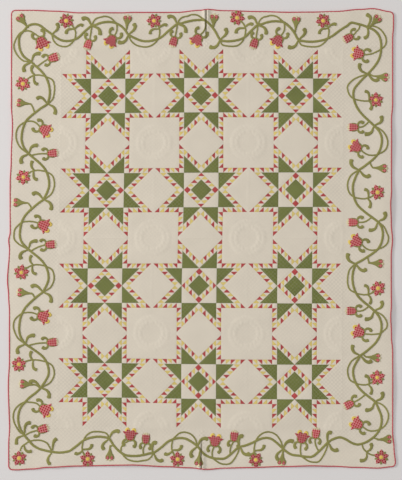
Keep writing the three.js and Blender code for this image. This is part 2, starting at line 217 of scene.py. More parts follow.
# Outer edge of the quilt, anticlockwise, with soft corners, as closely spaced points
def outer_edge(step):
    ring = list(SIDES.items())
    corners = []
    for (side, (axis, out)), (after, (_, turn)) in zip(ring, ring[1:] + ring[:1]):
        corner = np.empty(2)
        corner[axis] = out * (HALF_SIZE[axis] + stray(side, turn * HALF_SIZE[1 - axis]))
        corner[1 - axis] = turn * (HALF_SIZE[1 - axis] + stray(after, out * HALF_SIZE[axis]))
        corners.append(corner)
    runs = []
    for k, (side, (axis, out)) in enumerate(ring):
        low, high = corners[k - 1][1 - axis], corners[k][1 - axis]
        way = math.copysign(CORNER_RADIUS, high - low)
        run = np.empty((round(abs(high - low) / step), 2))
        run[:, 1 - axis] = np.linspace(low + way, high - way, len(run))
        run[:, axis] = out * (HALF_SIZE[axis] + stray(side, run[:, 1 - axis]))
        runs.append(run)
    t = np.linspace(0, 1, 9)[1:-1, None]
    edge = []
    for run, corner, after in zip(runs, corners, runs[1:] + runs[:1]):
        edge += [run, run[-1] * (1 - t) ** 2 + corner * 2 * t * (1 - t) + after[0] * t ** 2]
    return np.concatenate(edge)


# The middle of the outline stands over the origin, as the solids do
recentre = np.array([-3.139, 0.318])

# Slow unevenness of the filling: long shallow waves, the same under everything
wave_rng = np.random.default_rng(7)
WAVES = [(length, wave_rng.uniform(0, math.tau), wave_rng.uniform(0, math.tau))
         for length in (70, 85, 110, 140, 190, 260, 340)]
WAVE_STEEPNESS = 0.0016


def cockle(at):
    x, y = at.T
    height = np.zeros(len(at))
    for length, way, start in WAVES:
        along = x * math.cos(way) + y * math.sin(way)
        height += WAVE_STEEPNESS * length * np.sin(along * math.tau / length + start + 0.5 * np.sin(y / 170))
    return height


# Quilting lattice: four steps to each line of the diagonal cross-hatching
LATTICE = 96
STEP_X, STEP_Y = COLUMN_PITCH / LATTICE, ROW_PITCH / LATTICE
# Distance between the points of a seam, and how near to it a lattice point may be, in lattice steps
SEAM_STEP, SEAM_CLEAR = 6, 0.42
SEAM_RISE = 3.2


def hatch_pillow(at):
    i, j = (at / (STEP_X, STEP_Y)).T
    return np.abs(np.sin(math.pi * (i + j) / 4) * np.sin(math.pi * (i - j) / 4)) ** 0.8


# A quilted wreath round each corner of the block: two rings of curled plumes on a spine, well puffed up.
# Gives how full the quilting is at a place, how far the wreath stands up, and whether the place is in it.
WREATH_SPINE = 79
PLUME_OUT, PLUME_IN = 29, 26
PLUMES_OUT, PLUMES_IN = 28, 18
PLUME_CURL = 0.16
WREATH_RISE = 0.5


def wreath_pillow(at):
    off_x, off_y = (np.abs(at) - (COLUMN_PITCH / 2, ROW_PITCH / 2)).T
    radius, angle = np.hypot(off_x, off_y), np.arctan2(off_y, off_x)
    outer = radius > WREATH_SPINE
    share = np.abs(radius - WREATH_SPINE) / np.where(outer, PLUME_OUT, PLUME_IN)
    turn = np.mod(np.where(outer, PLUMES_OUT, PLUMES_IN) * (angle + PLUME_CURL * share) / math.tau, 1)
    share = share * (1 + 0.5 * (turn - 0.5) ** 2)
    plume = np.sin(math.pi * turn) ** 0.6 * np.sin(math.pi * np.clip(share, 0, 1)) ** 0.5
    inside = share < 1
    return np.where(inside, plume, hatch_pillow(at)), np.clip(1 - share ** 2, 0, 1), inside


def turned(points, quarter):
    cos, sin = ((1, 0), (0, 1), (-1, 0), (0, -1))[quarter]
    return [(x * cos - y * sin, x * sin + y * cos) for x, y in points]


# Patches of one block in its own frame, as (cloth, corners). In an upright block the ring's triangles
# point up and down, and in the others they point to the sides.
def star_patches(upright):
    notch = 5 * FEATHER
    c = notch - math.sqrt(2) * FEATHER
    g = c - math.sqrt(2) * FEATHER
    out = c + FEATHER
    half_x, half_y = COLUMN_PITCH / 2, ROW_PITCH / 2
    patches = [("green", [(g, 0), (0, g), (-g, 0), (0, -g)])]
    r = FEATHER / math.sqrt(2)
    ring = []
    for quarter in range(4):
        cell = [(0, g), (r, g + r), (0, c), (-r, g + r)]
        if quarter % 2:
            ring.append(("red", turned(cell, quarter)))
        else:
            ring.append(("red", turned([cell[1], cell[2], cell[3]], quarter)))
            ring.append(("cream", turned([cell[0], cell[1], cell[3]], quarter)))
    length = (c - 2 * r) / 3
    for right in (1, -1):
        for up in (1, -1):
            for k in range(3):
                x, y = r + k * length, c - r - k * length
                corners = [(x, y), (x - r, y - r), (x + length - r, y - length - r), (x + length, y - length)]
                placed = [(right * px, up * py) for px, py in corners]
                cloth = ("yellow", "red", "yellow")[k]
                ring.append((cloth, [placed[0], placed[1], placed[3]]))
                ring.append(("cream", [placed[1], placed[2], placed[3]]))
    if not upright:
        ring = [(cloth, turned(corners, 1)) for cloth, corners in ring]
    patches += ring

    l = (c * math.sqrt(2) - FEATHER) / 4 / math.sqrt(2)
    sided = [("green", [(0, c), (c, c), (c, 2 * c)])]
    for k in range(4):
        x0, x1 = r + k * l, r + (k + 1) * l
        a, b = (x0, c + x0), (x1, c + x1)
        top_b, top_a = (x1 - r, c + x1 + r), (x0 - r, c + x0 + r)
        sided.append((("yellow", "red")[k % 2], [a, top_b, top_a]))
        sided.append(("cream", [a, b, top_b]))
    sided.append(("yellow", [(c, 2 * c), (c, c + notch), (c - r, 2 * c + r)]))
    for k in range(1, 6):
        y0 = c + k * FEATHER
        sided.append((("yellow", "red")[k % 2], [(c, y0), (out, y0), (out, y0 + FEATHER)]))
        if k < 5:
            sided.append(("cream", [(c, y0), (out, y0 + FEATHER), (c, y0 + FEATHER)]))
    plain = [
        ("cream", [(c, 0), (c, c), (0, c)]),
        ("cream", [(0, c), (r, c + r), (0, notch), (-r, c + r)]),
        ("cream", [(c, c), (out, c), (out, out), (c, out)]),
    ]
    for quarter in range(4):
        half = half_x if quarter % 2 else half_y
        ground = [(0, notch), (out, out + notch), (out, half), (-out, half), (-out, out + notch)]
        group = sided + [(cloth, [(-x, y) for x, y in corners]) for cloth, corners in sided] + plain
        patches += [(cloth, turned(corners, quarter)) for cloth, corners in group + [("cream", ground)]]
    for right, up in ((1, 1), (-1, 1), (-1, -1), (1, -1)):
        square = [(out, out), (half_x, out), (half_x, half_y), (out, half_y)]
        patches.append(("square", [(right * x, up * y) for x, y in square]))
    return patches


def distance_to(points, start, end):
    way = end - start
    t = np.clip(((points - start) @ way) / (way @ way), 0, 1)
    return np.linalg.norm(points - start - t[:, None] * way, axis=1)


# Fills rings of point numbers with triangles: the points used, the triangles, and the ring of each
def filled(points, rings):
    found = delaunay_2d_cdt([Vector(at) for at in points], [], rings, 1, 0.01)
    triangles = np.array(found[2])
    used, where = np.unique(triangles, return_inverse=True)
    xy = np.array([tuple(at) for at in found[0]])[used]
    return xy, where.reshape(-1, 3), np.array([source[0] for source in found[5]])


def filled_ring(ring, inner):
    return filled(np.concatenate([ring, inner]), [list(range(len(ring)))])[:2]


# Every second point is enough for the diagonals, and the wreaths take them all
def lattice_points(steps):
    i, j = (axis.ravel() for axis in np.meshgrid(steps, steps))
    points = np.stack([i * STEP_X, j * STEP_Y], 1)
    return points, (i + j) % 2 == 0


block_lattice, on_diagonals = lattice_points(np.arange(LATTICE + 1) - LATTICE // 2)
block_lattice = block_lattice[on_diagonals | wreath_pillow(block_lattice)[2]]


def inside_block(start, end):
    middle = np.abs((start + end) / 2)
    return middle[0] < COLUMN_PITCH / 2 - 0.1 and middle[1] < ROW_PITCH / 2 - 0.1


# Triangulates patches over lattice points: points, triangles, the patch of each triangle, and each
# point's distance from the nearest seam of its patch
def pieced_mesh(patches):
    places, keys = [], {}

    def place(at):
        key = (round(at[0] * 50), round(at[1] * 50))
        if key not in keys:
            keys[key] = len(places)
            places.append((float(at[0]), float(at[1])))
        return keys[key]

    corners = np.array([at for _, ring in patches for at in ring])
    corners = np.unique(np.round(corners, 3), axis=0)
    rings, seams = [], []
    for _, ring in patches:
        area = sum(a[0] * b[1] - b[0] * a[1] for a, b in zip(ring, ring[1:] + ring[:1]))
        ring = [np.array(at, float) for at in (ring if area > 0 else ring[::-1])]
        loop, sewn = [], []
        for start, end in zip(ring, ring[1:] + ring[:1]):
            if inside_block(start, end):
                sewn.append((start, end))
            way = end - start
            length = np.linalg.norm(way)
            along = (corners - start) @ way / length
            off = np.abs((corners - start) @ np.array([-way[1], way[0]])) / length
            on = (off < 0.05) & (along > 0.5) & (along < length - 0.5)
            stops = [0.0, *sorted(along[on]), length]
            for low, high in zip(stops, stops[1:]):
                count = max(1, round((high - low) / SEAM_STEP)) if inside_block(start, end) else 1
                loop += [place(start + way * (low + (high - low) * k / count) / length) for k in range(count)]
        rings.append(loop)
        seams.append(sewn)
    nearest = np.min([distance_to(block_lattice, *seam) for sewn in seams for seam in sewn], axis=0)
    points = np.concatenate([np.array(places), block_lattice[nearest > SEAM_CLEAR * STEP_X]])
    xy, triangles, owner = filled(points, rings)
    seam_gap = np.full(len(xy), 1e9)
    for k, sewn in enumerate(seams):
        mine = np.unique(triangles[owner == k])
        for seam in sewn:
            seam_gap[mine] = np.minimum(seam_gap[mine], distance_to(xy[mine], *seam))
    return xy, triangles, owner, seam_gap


# Rise of a patch above its seams, how far the cross-hatching sinks into it, and how fast it rises
PATCH_RISE = {"green": (2.0, 0.75, 6), "red": (1.6, 0, 5), "yellow": (1.6, 0, 5), "cream": (3.0, 0.95, 4),
              "square": (1.8, 0.8, 4)}
# Patches smaller than this rise no further than so
SMALL_PATCH, SMALL_RISE = 45, 1.6
# Rise at which the field and the border panels meet, and how fast the field comes down to it
FIELD_EDGE_RISE, FIELD_EDGE_EASE = 1.15, 5
CLOTHS = ["cream", "green", "red", "yellow"]
# How plainly the cross-hatching shows, as stitches and the painted shade in their furrows, which is most
# along the edge of the field
HATCH_SHOWN = {"green": 1, "cream": 0.35, "square": 0.25, "red": 0, "yellow": 0}
EDGE_BAND, EDGE_HATCH = 150, 0.8

blocks = {}
for upright in (True, False):
    patches = star_patches(upright)
    xy, triangles, owner, seam = pieced_mesh(patches)
    cloth_of = np.array([cloth for cloth, _ in patches])
    small = np.array([len(ring) < 5 and max(np.ptp(np.array(ring), axis=0)) < SMALL_PATCH
                      for _, ring in patches])
    point_patch = np.zeros(len(xy), int)
    point_patch[triangles.ravel()] = np.repeat(owner, 3)
    rise, sink, ease = np.array([PATCH_RISE[cloth] for cloth in cloth_of[point_patch]]).T
    sink[small[point_patch]] = 0
    rise[small[point_patch] & (rise > SMALL_RISE)] = SMALL_RISE
    pillow = hatch_pillow(xy)
    wreath, puff, in_wreath = wreath_pillow(xy)
    in_square = cloth_of[point_patch] == "square"
    pillow = np.where(in_square, wreath, pillow)
    relief = SEAM_RISE + rise * (1 - np.exp(-seam / ease)) * (1 - sink * (1 - pillow))
    relief += np.where(in_square, WREATH_RISE * puff, 0)
    shown = np.array([HATCH_SHOWN[cloth] for cloth in cloth_of[point_patch]])
    hatch = np.where((in_square & in_wreath) | (sink == 0), 0, shown)
    blocks[upright] = (xy, triangles, owner, seam, relief, hatch, cloth_of)

# Blocks, row by row from the top, whose ring points to the sides
SIDEWAYS = {(1, 2), (2, 1), (2, 2), (3, 1), (3, 2)}


# Makes a piece of cloth from places and heights in millimetres, with the values that its material reads
def cloth_piece(name, places, heights, faces, cloths, layers, unfolded=None):
    mesh = bpy.data.meshes.new(name)
    points = np.column_stack([places + recentre, heights]) / 1000
    mesh.from_pydata(points.tolist(), [], faces)
    for cloth in cloths:
        mesh.materials.append(cloth)
    mesh.polygons.foreach_set("use_smooth", np.ones(len(faces), bool))
    if unfolded:
        uv_name, uv = unfolded
        mesh.uv_layers.new(name=uv_name).data.foreach_set("uv", uv[np.concatenate(faces)].ravel())
    for layer, values in layers.items():
        attribute = mesh.attributes.new(layer, "FLOAT", "FACE" if layer == "tone" else "POINT")
        attribute.data.foreach_set("value", np.asarray(values, np.float32))
    piece = bpy.data.objects.new(name, mesh)
    bpy.context.collection.objects.link(piece)
    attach(piece, "root")
    return piece


# Makes a laid sheet of the quilt from points of the even layout. The thin parts follow the filling less.
SEAM_SHADE_AND_DUST, THIN_RELIEF, FULL_RELIEF = 2.5, 1, 4


def quilt_sheet(name, even, relief, seam, hatch, triangles, cloth_index, tone, cloths):
    places = even + drift(even)
    fullness = (relief - THIN_RELIEF) / (FULL_RELIEF - THIN_RELIEF)
    heights = relief + lift(places) + cockle(places) * np.clip(fullness, 0, 1)
    # Layers for the material: random tone per patch, painted shade with a little dust beside the seams,
    # strength of the stitches and of the painted shade in their furrows, and the painted crease shadow with
    # its dust
    layers = {"tone": tone, "seam": np.exp(-seam / SEAM_SHADE_AND_DUST), "hatch": hatch, "crease_shade_and_dust": crease_shade_and_dust(places)}
    sheet = cloth_piece(name, places, heights, triangles.tolist(), cloths, layers,
                        ("layout", even / (STEP_X, STEP_Y) / 4))
    sheet.data.polygons.foreach_set("material_index", np.asarray(cloth_index, np.int32))
    return sheet


# Hand-woven look of dress cotton. Plain weave is too fine to show, so its threads are drawn 2 mm apart.
# Quilting stitches follow the layout's diagonals, four to a diamond, and the colour beside the seams is
# painted a little darker, as painted shade in the seam valleys with a little dust.
THREAD_SPACING = 0.002
# Colour of the quilting thread, and the dark brown of the painted crease shadow with its dust
THREAD_COLOUR, CREASE_SHADE_AND_DUST_COLOUR = "#cfc4ae", "#544a25"
# In diamonds of the cross-hatching: where a row of stitches and the painted shade of its furrow fade out, and
# half a pitch
STITCH_FADES, FURROW_SHADE_FADES = (0.03, 0.07), (0.02, 0.17)
STITCH_PITCH, STITCH_LENGTH = 0.125, 0.075
# Colour factor in the middle of a furrow: painted shade, partly soil
DARKEST_FURROW_SHADE = 0.87


def quilted_cotton(name, colour, fleck, mottle, thread_mix, figure=None, seam_shade_and_dust=0.14, spread=0.07):
    material = bpy.data.materials.new(name)
    material.use_nodes = True
    tree = material.node_tree
    shader = tree.nodes["Principled BSDF"]

    # Inputs are values or sockets, by place or by name. Gives one output.
    def add_node(kind, inputs=(), out=0, **settings):
        node = tree.nodes.new("ShaderNode" + kind)
        for setting, value in settings.items():
            setattr(node, setting, value)
        for key, value in inputs.items() if isinstance(inputs, dict) else enumerate(inputs):
            if isinstance(value, bpy.types.NodeSocket):
                tree.links.new(value, node.inputs[key])
            else:
                node.inputs[key].default_value = value
        return node.outputs[out]

    coords = add_node("TexCoord", out="Object")
    tone, seam, hatch, crease_shade_and_dust_share = (add_node("Attribute", out="Fac", attribute_name=layer)
                               for layer in ("tone", "seam", "hatch", "crease_shade_and_dust"))

    layout = add_node("UVMap", uv_map="layout")
    diagonals = add_node("Mapping", {"Vector": layout, "Rotation": (0, 0, math.pi / 4),
                                     "Scale": (math.sqrt(2), math.sqrt(2), 1)})
    axes = add_node("SeparateXYZ", (diagonals,)).node.outputs
    rows, furrow_shades = [], []
    for across, along in (("X", "Y"), ("Y", "X")):
        off = add_node("Math", (axes[across], 0.5), operation="PINGPONG")
        line = add_node("MapRange", (off, *STITCH_FADES, 1, 0))
        place = add_node("Math", (axes[along], STITCH_PITCH), operation="PINGPONG")
        dash = add_node("Math", (place, STITCH_LENGTH), operation="LESS_THAN")
        rows.append(add_node("Math", (line, dash), operation="MULTIPLY"))
        # Painted shade along each quilting furrow
        furrow_shades.append(add_node("MapRange", (off, *FURROW_SHADE_FADES, 1, 0)))
    both = [add_node("Math", pair, operation="MAXIMUM") for pair in (rows, furrow_shades)]
    # Stitches, and the painted shade in the furrows, both as strong as the hatch layer says
    stitches, sunk = (add_node("Math", (lines, hatch), operation="MULTIPLY") for lines in both)

    fading = add_node("TexNoise", {"Vector": coords, "Scale": 7, "Detail": 4}, "Fac")
    flecks = add_node("TexNoise", {"Vector": coords, "Scale": 150, "Detail": 4}, "Fac")
    value = 1.0
    # Colour factors: slow fading, flecks, random patch tone, painted shade with a little dust beside the
    # seams, and painted shade in the quilting furrows, a hair lighter between them
    for source, low, high, at_low, at_high in (
            (fading, 0.3, 0.7, 1 - mottle, 1 + mottle), (flecks, 0.3, 0.7, 1 - fleck, 1 + fleck),
            (tone, 0, 1, 1 - spread, 1 + spread), (seam, 0, 1, 1, 1 - seam_shade_and_dust),
            (sunk, 0, 1, 1.01, DARKEST_FURROW_SHADE)):
        factor = add_node("MapRange", (source, low, high, at_low, at_high))
        value = add_node("Math", (value, factor), operation="MULTIPLY")

    cloth_colour = linear(colour)
    if figure:
        kind, figure_colour, spacing, strength = figure
        if kind == "spots":
            spots = add_node("TexVoronoi", {"Vector": coords, "Scale": 1 / spacing}, "Distance")
            shown = add_node("MapRange", (spots, 0.16, 0.3, strength, 0.0))
        else:
            cut = add_node("UVMap", uv_map="cut")
            cut_axes = add_node("SeparateXYZ", (cut,)).node.outputs
            lines = []
            for axis in ("X", "Y"):
                off = add_node("Math", (cut_axes[axis], spacing / 2), operation="PINGPONG")
                lines.append(add_node("MapRange", (off, 0.1 * spacing, 0.2 * spacing, strength, 0.0)))
            shown = add_node("Math", lines, operation="MAXIMUM")
        cloth_colour = add_node("Mix", {0: shown, 6: cloth_colour, 7: linear(figure_colour)}, 2,
                                data_type="RGBA")
    shaded = add_node("HueSaturation", {"Value": value, "Color": cloth_colour})
    thread = add_node("Math", (stitches, thread_mix), operation="MULTIPLY")
    # The thread is laid over the cloth, and the storage crease is painted towards dark brown as painted
    # shadow with some dust
    for share, laid_on in ((thread, THREAD_COLOUR), (crease_shade_and_dust_share, CREASE_SHADE_AND_DUST_COLOUR)):
        shaded = add_node("Mix", {0: share, 6: shaded, 7: linear(laid_on)}, 2, data_type="RGBA")
    tree.links.new(shaded, shader.inputs["Base Color"])

    height = flecks
    for direction in ("X", "Y"):
        threads = add_node("TexWave", {"Vector": coords, "Scale": math.tau / 20 / THREAD_SPACING,
                                       "Distortion": 1.2, "Detail": 1.0}, "Fac", bands_direction=direction)
        height = add_node("Math", (threads, 0.5, height), operation="MULTIPLY_ADD")
    height = add_node("Math", (stitches, -2.0, height), operation="MULTIPLY_ADD")
    bump = add_node("Bump", {"Height": height, "Strength": 0.35, "Distance": 0.0005})
    tree.links.new(bump, shader.inputs["Normal"])
    rough = add_node("MapRange", {0: flecks, 3: 0.84, 4: 0.98})
    tree.links.new(rough, shader.inputs["Roughness"])
    shader.inputs["Specular IOR Level"].default_value = 0.2
    shader.inputs["Sheen Weight"].default_value = 0.08
    shader.inputs["Sheen Roughness"].default_value = 0.6
    return material


# Washed cream muslin, a faded plain green, a small-figured madder red and a chrome yellow gone soft
muslin = quilted_cotton("cream_muslin", "#e6dbc9", 0.025, 0.02, 0.0, seam_shade_and_dust=0.03)
green_cotton = quilted_cotton("faded_green_cotton", "#737a3c", 0.12, 0.1, 0.5)
red_print = quilted_cotton("madder_red_print", "#bd4c4b", 0.08, 0.07, 0.0, ("spots", "#d79a90", 0.009, 0.35))
yellow_cotton = quilted_cotton("chrome_yellow_cotton", "#e8d07c", 0.05, 0.05, 0.0)
STAR_CLOTHS = [muslin, green_cotton, red_print, yellow_cotton]

tone_rng = np.random.default_rng(21)
gathered = {"star_blocks_upper": [], "star_blocks_lower": [], "setting_squares": []}
for row in range(ROWS):
    for column in range(COLUMNS):
        xy, triangles, owner, seam, relief, hatch, cloth_of = blocks[(row, column) not in SIDEWAYS]
        centre = np.array([(column - 1) * COLUMN_PITCH, ((ROWS - 1) / 2 - row) * ROW_PITCH])
        even = xy + centre
        patch_tone = tone_rng.uniform(0.2, 0.8, len(cloth_of))
        patch_tone[(cloth_of == "square") | (cloth_of == "cream")] = 0.5
        edge_gap = np.minimum(COLUMN_PITCH * COLUMNS / 2 - np.abs(even[:, 0]),
                              ROW_PITCH * ROWS / 2 - np.abs(even[:, 1]))
        sunk = relief + (SEAM_RISE + FIELD_EDGE_RISE - relief) * np.exp(-edge_gap / FIELD_EDGE_EASE)
        shown = np.where((hatch == HATCH_SHOWN["cream"]) & (edge_gap < EDGE_BAND), EDGE_HATCH, hatch)
        cloth_index = np.array([0 if cloth == "square" else CLOTHS.index(cloth) for cloth in cloth_of])[owner]
        in_square = cloth_of[owner] == "square"
        name = "star_blocks_upper" if row < 2 else "star_blocks_lower"
        for piece_name, part in ((name, ~in_square), ("setting_squares", in_square)):
            gathered[piece_name].append((even, sunk, seam, shown, triangles[part], cloth_index[part],
                                         patch_tone[owner[part]]))


# Joins the parts of one sheet, and merges points that fall together
def joined(parts):
    even, relief, seam, hatch = (np.concatenate([part[k] for part in parts]) for k in range(4))
    cloth_index, tone = (np.concatenate([part[k] for part in parts]) for k in (5, 6))
    starts = np.cumsum([0] + [len(part[0]) for part in parts])
    triangles = np.concatenate([part[4] + start for part, start in zip(parts, starts)])
    used, where = np.unique(triangles, return_inverse=True)
    keys = np.round(even[used] * 20).astype(np.int64)
    _, first, same = np.unique(keys, axis=0, return_index=True, return_inverse=True)
    kept = used[first]
    triangles = same.reshape(-1)[where.reshape(-1, 3)]
    return even[kept], relief[kept], seam[kept], hatch[kept], triangles, cloth_index, tone


for name, parts in gathered.items():
    columns = joined(parts)
    sheet = quilt_sheet(name, *columns, STAR_CLOTHS if name != "setting_squares" else [muslin])
    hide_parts("quilt_body")


# Border: four panels of the same cream muslin, cut straight and sewn round the pieced field, the head
# and foot panels across the full width. They carry the vine, and are quilted with the same diagonals.
HALF_FIELD = (COLUMN_PITCH * COLUMNS / 2, ROW_PITCH * ROWS / 2)
RAW_EDGE_IN, RIM_STEP = 2.5, 6
BORDER_RISE, BORDER_SINK, BORDER_EASE = 2.1, 0.9, 4
# How near to a panel's edge a lattice point may be, in lattice steps, and an edge point to its corner
BORDER_CLEAR, END_CLEAR = 0.45, 3
# How plainly the cross-hatching shows on the border, as stitches and painted furrow shade, and how much more
# beside the field
BORDER_HATCH, BORDER_HATCH_MORE, BORDER_HATCH_REACH = 0.3, 0.4, 70
BORDER_TONE = 0.55
# Closely spaced columns of points that follow the crease, which is placed by the drift at one height
FOLD_HALF, FOLD_STEP, FOLD_AT = 12, 3, 1200.0


# Unit steps to the left of a line of points
def left_of(line, closed=True):
    ahead = np.gradient(line, axis=0)
    if closed:
        ahead = np.roll(line, -1, axis=0) - np.roll(line, 1, axis=0)
    ahead /= np.linalg.norm(ahead, axis=1)[:, None]
    return np.stack([-ahead[:, 1], ahead[:, 0]], 1)


rim = outer_edge(RIM_STEP)
rim_in = left_of(rim)
raw_edge = evened(rim + rim_in * RAW_EDGE_IN)
wide_lattice, on_diagonals = lattice_points(np.arange(-LATTICE * 3, LATTICE * 3 + 1))
wide_lattice = wide_lattice[on_diagonals]


# Where the raw edge on the left or the right crosses a height
def edge_at(sign, y):
    side = raw_edge[raw_edge[:, 0] * sign > 0]
    side = side[np.argsort(side[:, 1])]
    return float(np.interp(y, side[:, 1], side[:, 0])), y


def edge_distance(even):
    return np.min([gap for _, gap in inward_of_sides(even + drift(even)).values()], axis=0)


# Distances inside a panel's raw edge, and inside its seams with the field and the panels beside it
def panel_gaps(even, axis, out):
    past = even * out - HALF_FIELD
    seam = past[:, 1] if axis else np.minimum(past[:, 0], HALF_FIELD[1] - np.abs(even[:, 1]))
    return edge_distance(even) - RAW_EDGE_IN, seam


for side in ("top", "left", "bottom", "right"):
    axis, out = SIDES[side]
    beyond = raw_edge[:, axis] * out - HALF_FIELD[axis]
    if axis:
        outer = raw_edge[beyond > END_CLEAR]
        turn = np.unwrap(np.mod(np.arctan2(outer[:, 1], outer[:, 0]), math.tau))
        outer = outer[np.argsort(turn)]
        ends = [edge_at(sign, out * HALF_FIELD[1]) for sign in (out, -out)]
        seam_row = np.arange(0, LATTICE * COLUMNS + 1, 2) * STEP_X - HALF_FIELD[0]
        seam_row = [(x, out * HALF_FIELD[1]) for x in seam_row[::out]]
    else:
        outer = raw_edge[(beyond > 0) & (np.abs(raw_edge[:, 1]) < HALF_FIELD[1] - END_CLEAR)]
        outer = outer[np.argsort(outer[:, 1] * out)]
        ends = [edge_at(out, sign * HALF_FIELD[1]) for sign in (-out, out)]
        seam_row = np.arange(0, LATTICE * ROWS + 1, 2) * STEP_Y - HALF_FIELD[1]
        seam_row = [(out * HALF_FIELD[0], y) for y in seam_row[::-out]]
    ring = np.array([ends[0], *map(tuple, outer), ends[1], *seam_row])
    low, high = ring.min(axis=0), ring.max(axis=0)
    lattice = wide_lattice[np.all((wide_lattice > low) & (wide_lattice < high), axis=1)]
    if side in CREASE_AT:
        crease_x = CREASE_AT[side] - drift(np.array([(CREASE_AT[side], out * FOLD_AT)]))[0, 0]
        columns = crease_x + np.arange(-FOLD_HALF, FOLD_HALF + 1, FOLD_STEP)
        fold = np.meshgrid(columns, np.arange(low[1], high[1], STEP_Y))
        lattice = lattice[np.abs(lattice[:, 0] - crease_x) > FOLD_HALF + 2]
        lattice = np.concatenate([lattice, np.stack(fold, -1).reshape(-1, 2)])
    lattice = lattice[np.minimum(*panel_gaps(lattice, axis, out)) > BORDER_CLEAR * STEP_X]
    even, triangles = filled_ring(ring, lattice)
    raw, seam = np.maximum(panel_gaps(even, axis, out), 0)
    rise = BORDER_RISE * (1 - BORDER_SINK * (1 - hatch_pillow(even)))
    rise += (FIELD_EDGE_RISE - rise) * np.exp(-seam / BORDER_EASE)
    relief = SEAM_RISE + rise * (1 - np.exp(-raw / BORDER_EASE))
    hatch = BORDER_HATCH + BORDER_HATCH_MORE * np.exp(-seam / BORDER_HATCH_REACH)
    panel = quilt_sheet(f"border_{side}", even, relief, raw, hatch, triangles, np.zeros(len(triangles)),
                        np.full(len(triangles), BORDER_TONE), [muslin])
    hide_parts("quilt_body")


# Vine stem: a long bias strip of olive green cotton, turned under and sewn down in waves round the border.
# It runs anticlockwise from the head end. Joints are where a thinner stem crosses it, near the field
# (inner) and near the edge (outer), and the shape between two joints repeats all the way round.
CORNER_TURN = 230
# How far in the vine still follows the stray of the quilt's edge
PULL_REACH = 300
STRAIGHT = STRAIGHT_X, STRAIGHT_Y = HALF_WIDTH - CORNER_TURN, HALF_LENGTH - CORNER_TURN
ARC = CORNER_TURN * math.pi / 2
WAY_STARTS = {"top": 0, "left": 2 * STRAIGHT_X + ARC, "bottom": 2 * (STRAIGHT_X + STRAIGHT_Y + ARC),
              "right": 4 * STRAIGHT_X + 2 * STRAIGHT_Y + 3 * ARC}
WAY_LENGTH = 4 * (STRAIGHT_X + STRAIGHT_Y + ARC)


# Distance along the way round the border of a place on one side, in millimetres from the quilt's middle
def way_along(side, at):
    forward = at if side in ("bottom", "right") else -at
    return WAY_STARTS[side] + forward + STRAIGHT[1 - SIDES[side][0]]


way_nodes = []
for side, heading in (("top", math.pi), ("left", 1.5 * math.pi), ("bottom", 0), ("right", 0.5 * math.pi)):
    axis = SIDES[side][0]
    half, out = STRAIGHT[1 - axis], HALF_SIZE[axis]
    cos, sin = round(math.cos(heading)), round(math.sin(heading))
    for along in (-half, half):
        way_nodes.append((WAY_STARTS[side] + along + half, along * cos + out * sin, along * sin - out * cos,
                          -sin, cos))
    for share in np.linspace(0, 1, 25)[1:-1]:
        turn = heading + share * math.pi / 2
        hub_x, hub_y = half * cos + (out - CORNER_TURN) * sin, half * sin - (out - CORNER_TURN) * cos
        way_nodes.append((WAY_STARTS[side] + 2 * half + share * ARC, hub_x + CORNER_TURN * math.sin(turn),
                          hub_y - CORNER_TURN * math.cos(turn), -math.sin(turn), math.cos(turn)))
way_nodes.append((WAY_LENGTH, *way_nodes[0][1:]))
way_nodes = np.array(way_nodes)


# Place on the border at a distance along the way and a distance in from the edge
def on_border(along, inward):
    along = np.mod(np.asarray(along, float), WAY_LENGTH)
    x, y, in_x, in_y = (np.interp(along, way_nodes[:, 0], column) for column in way_nodes.T[1:])
    at = np.stack([x + in_x * inward, y + in_y * inward], -1)
    pull = np.zeros_like(at)
    for side, (place, gap) in inward_of_sides(at).items():
        axis, out = SIDES[side]
        pull[..., axis] += out * stray(side, place) * np.clip(1 - gap / PULL_REACH, 0, 1)
    return at + pull


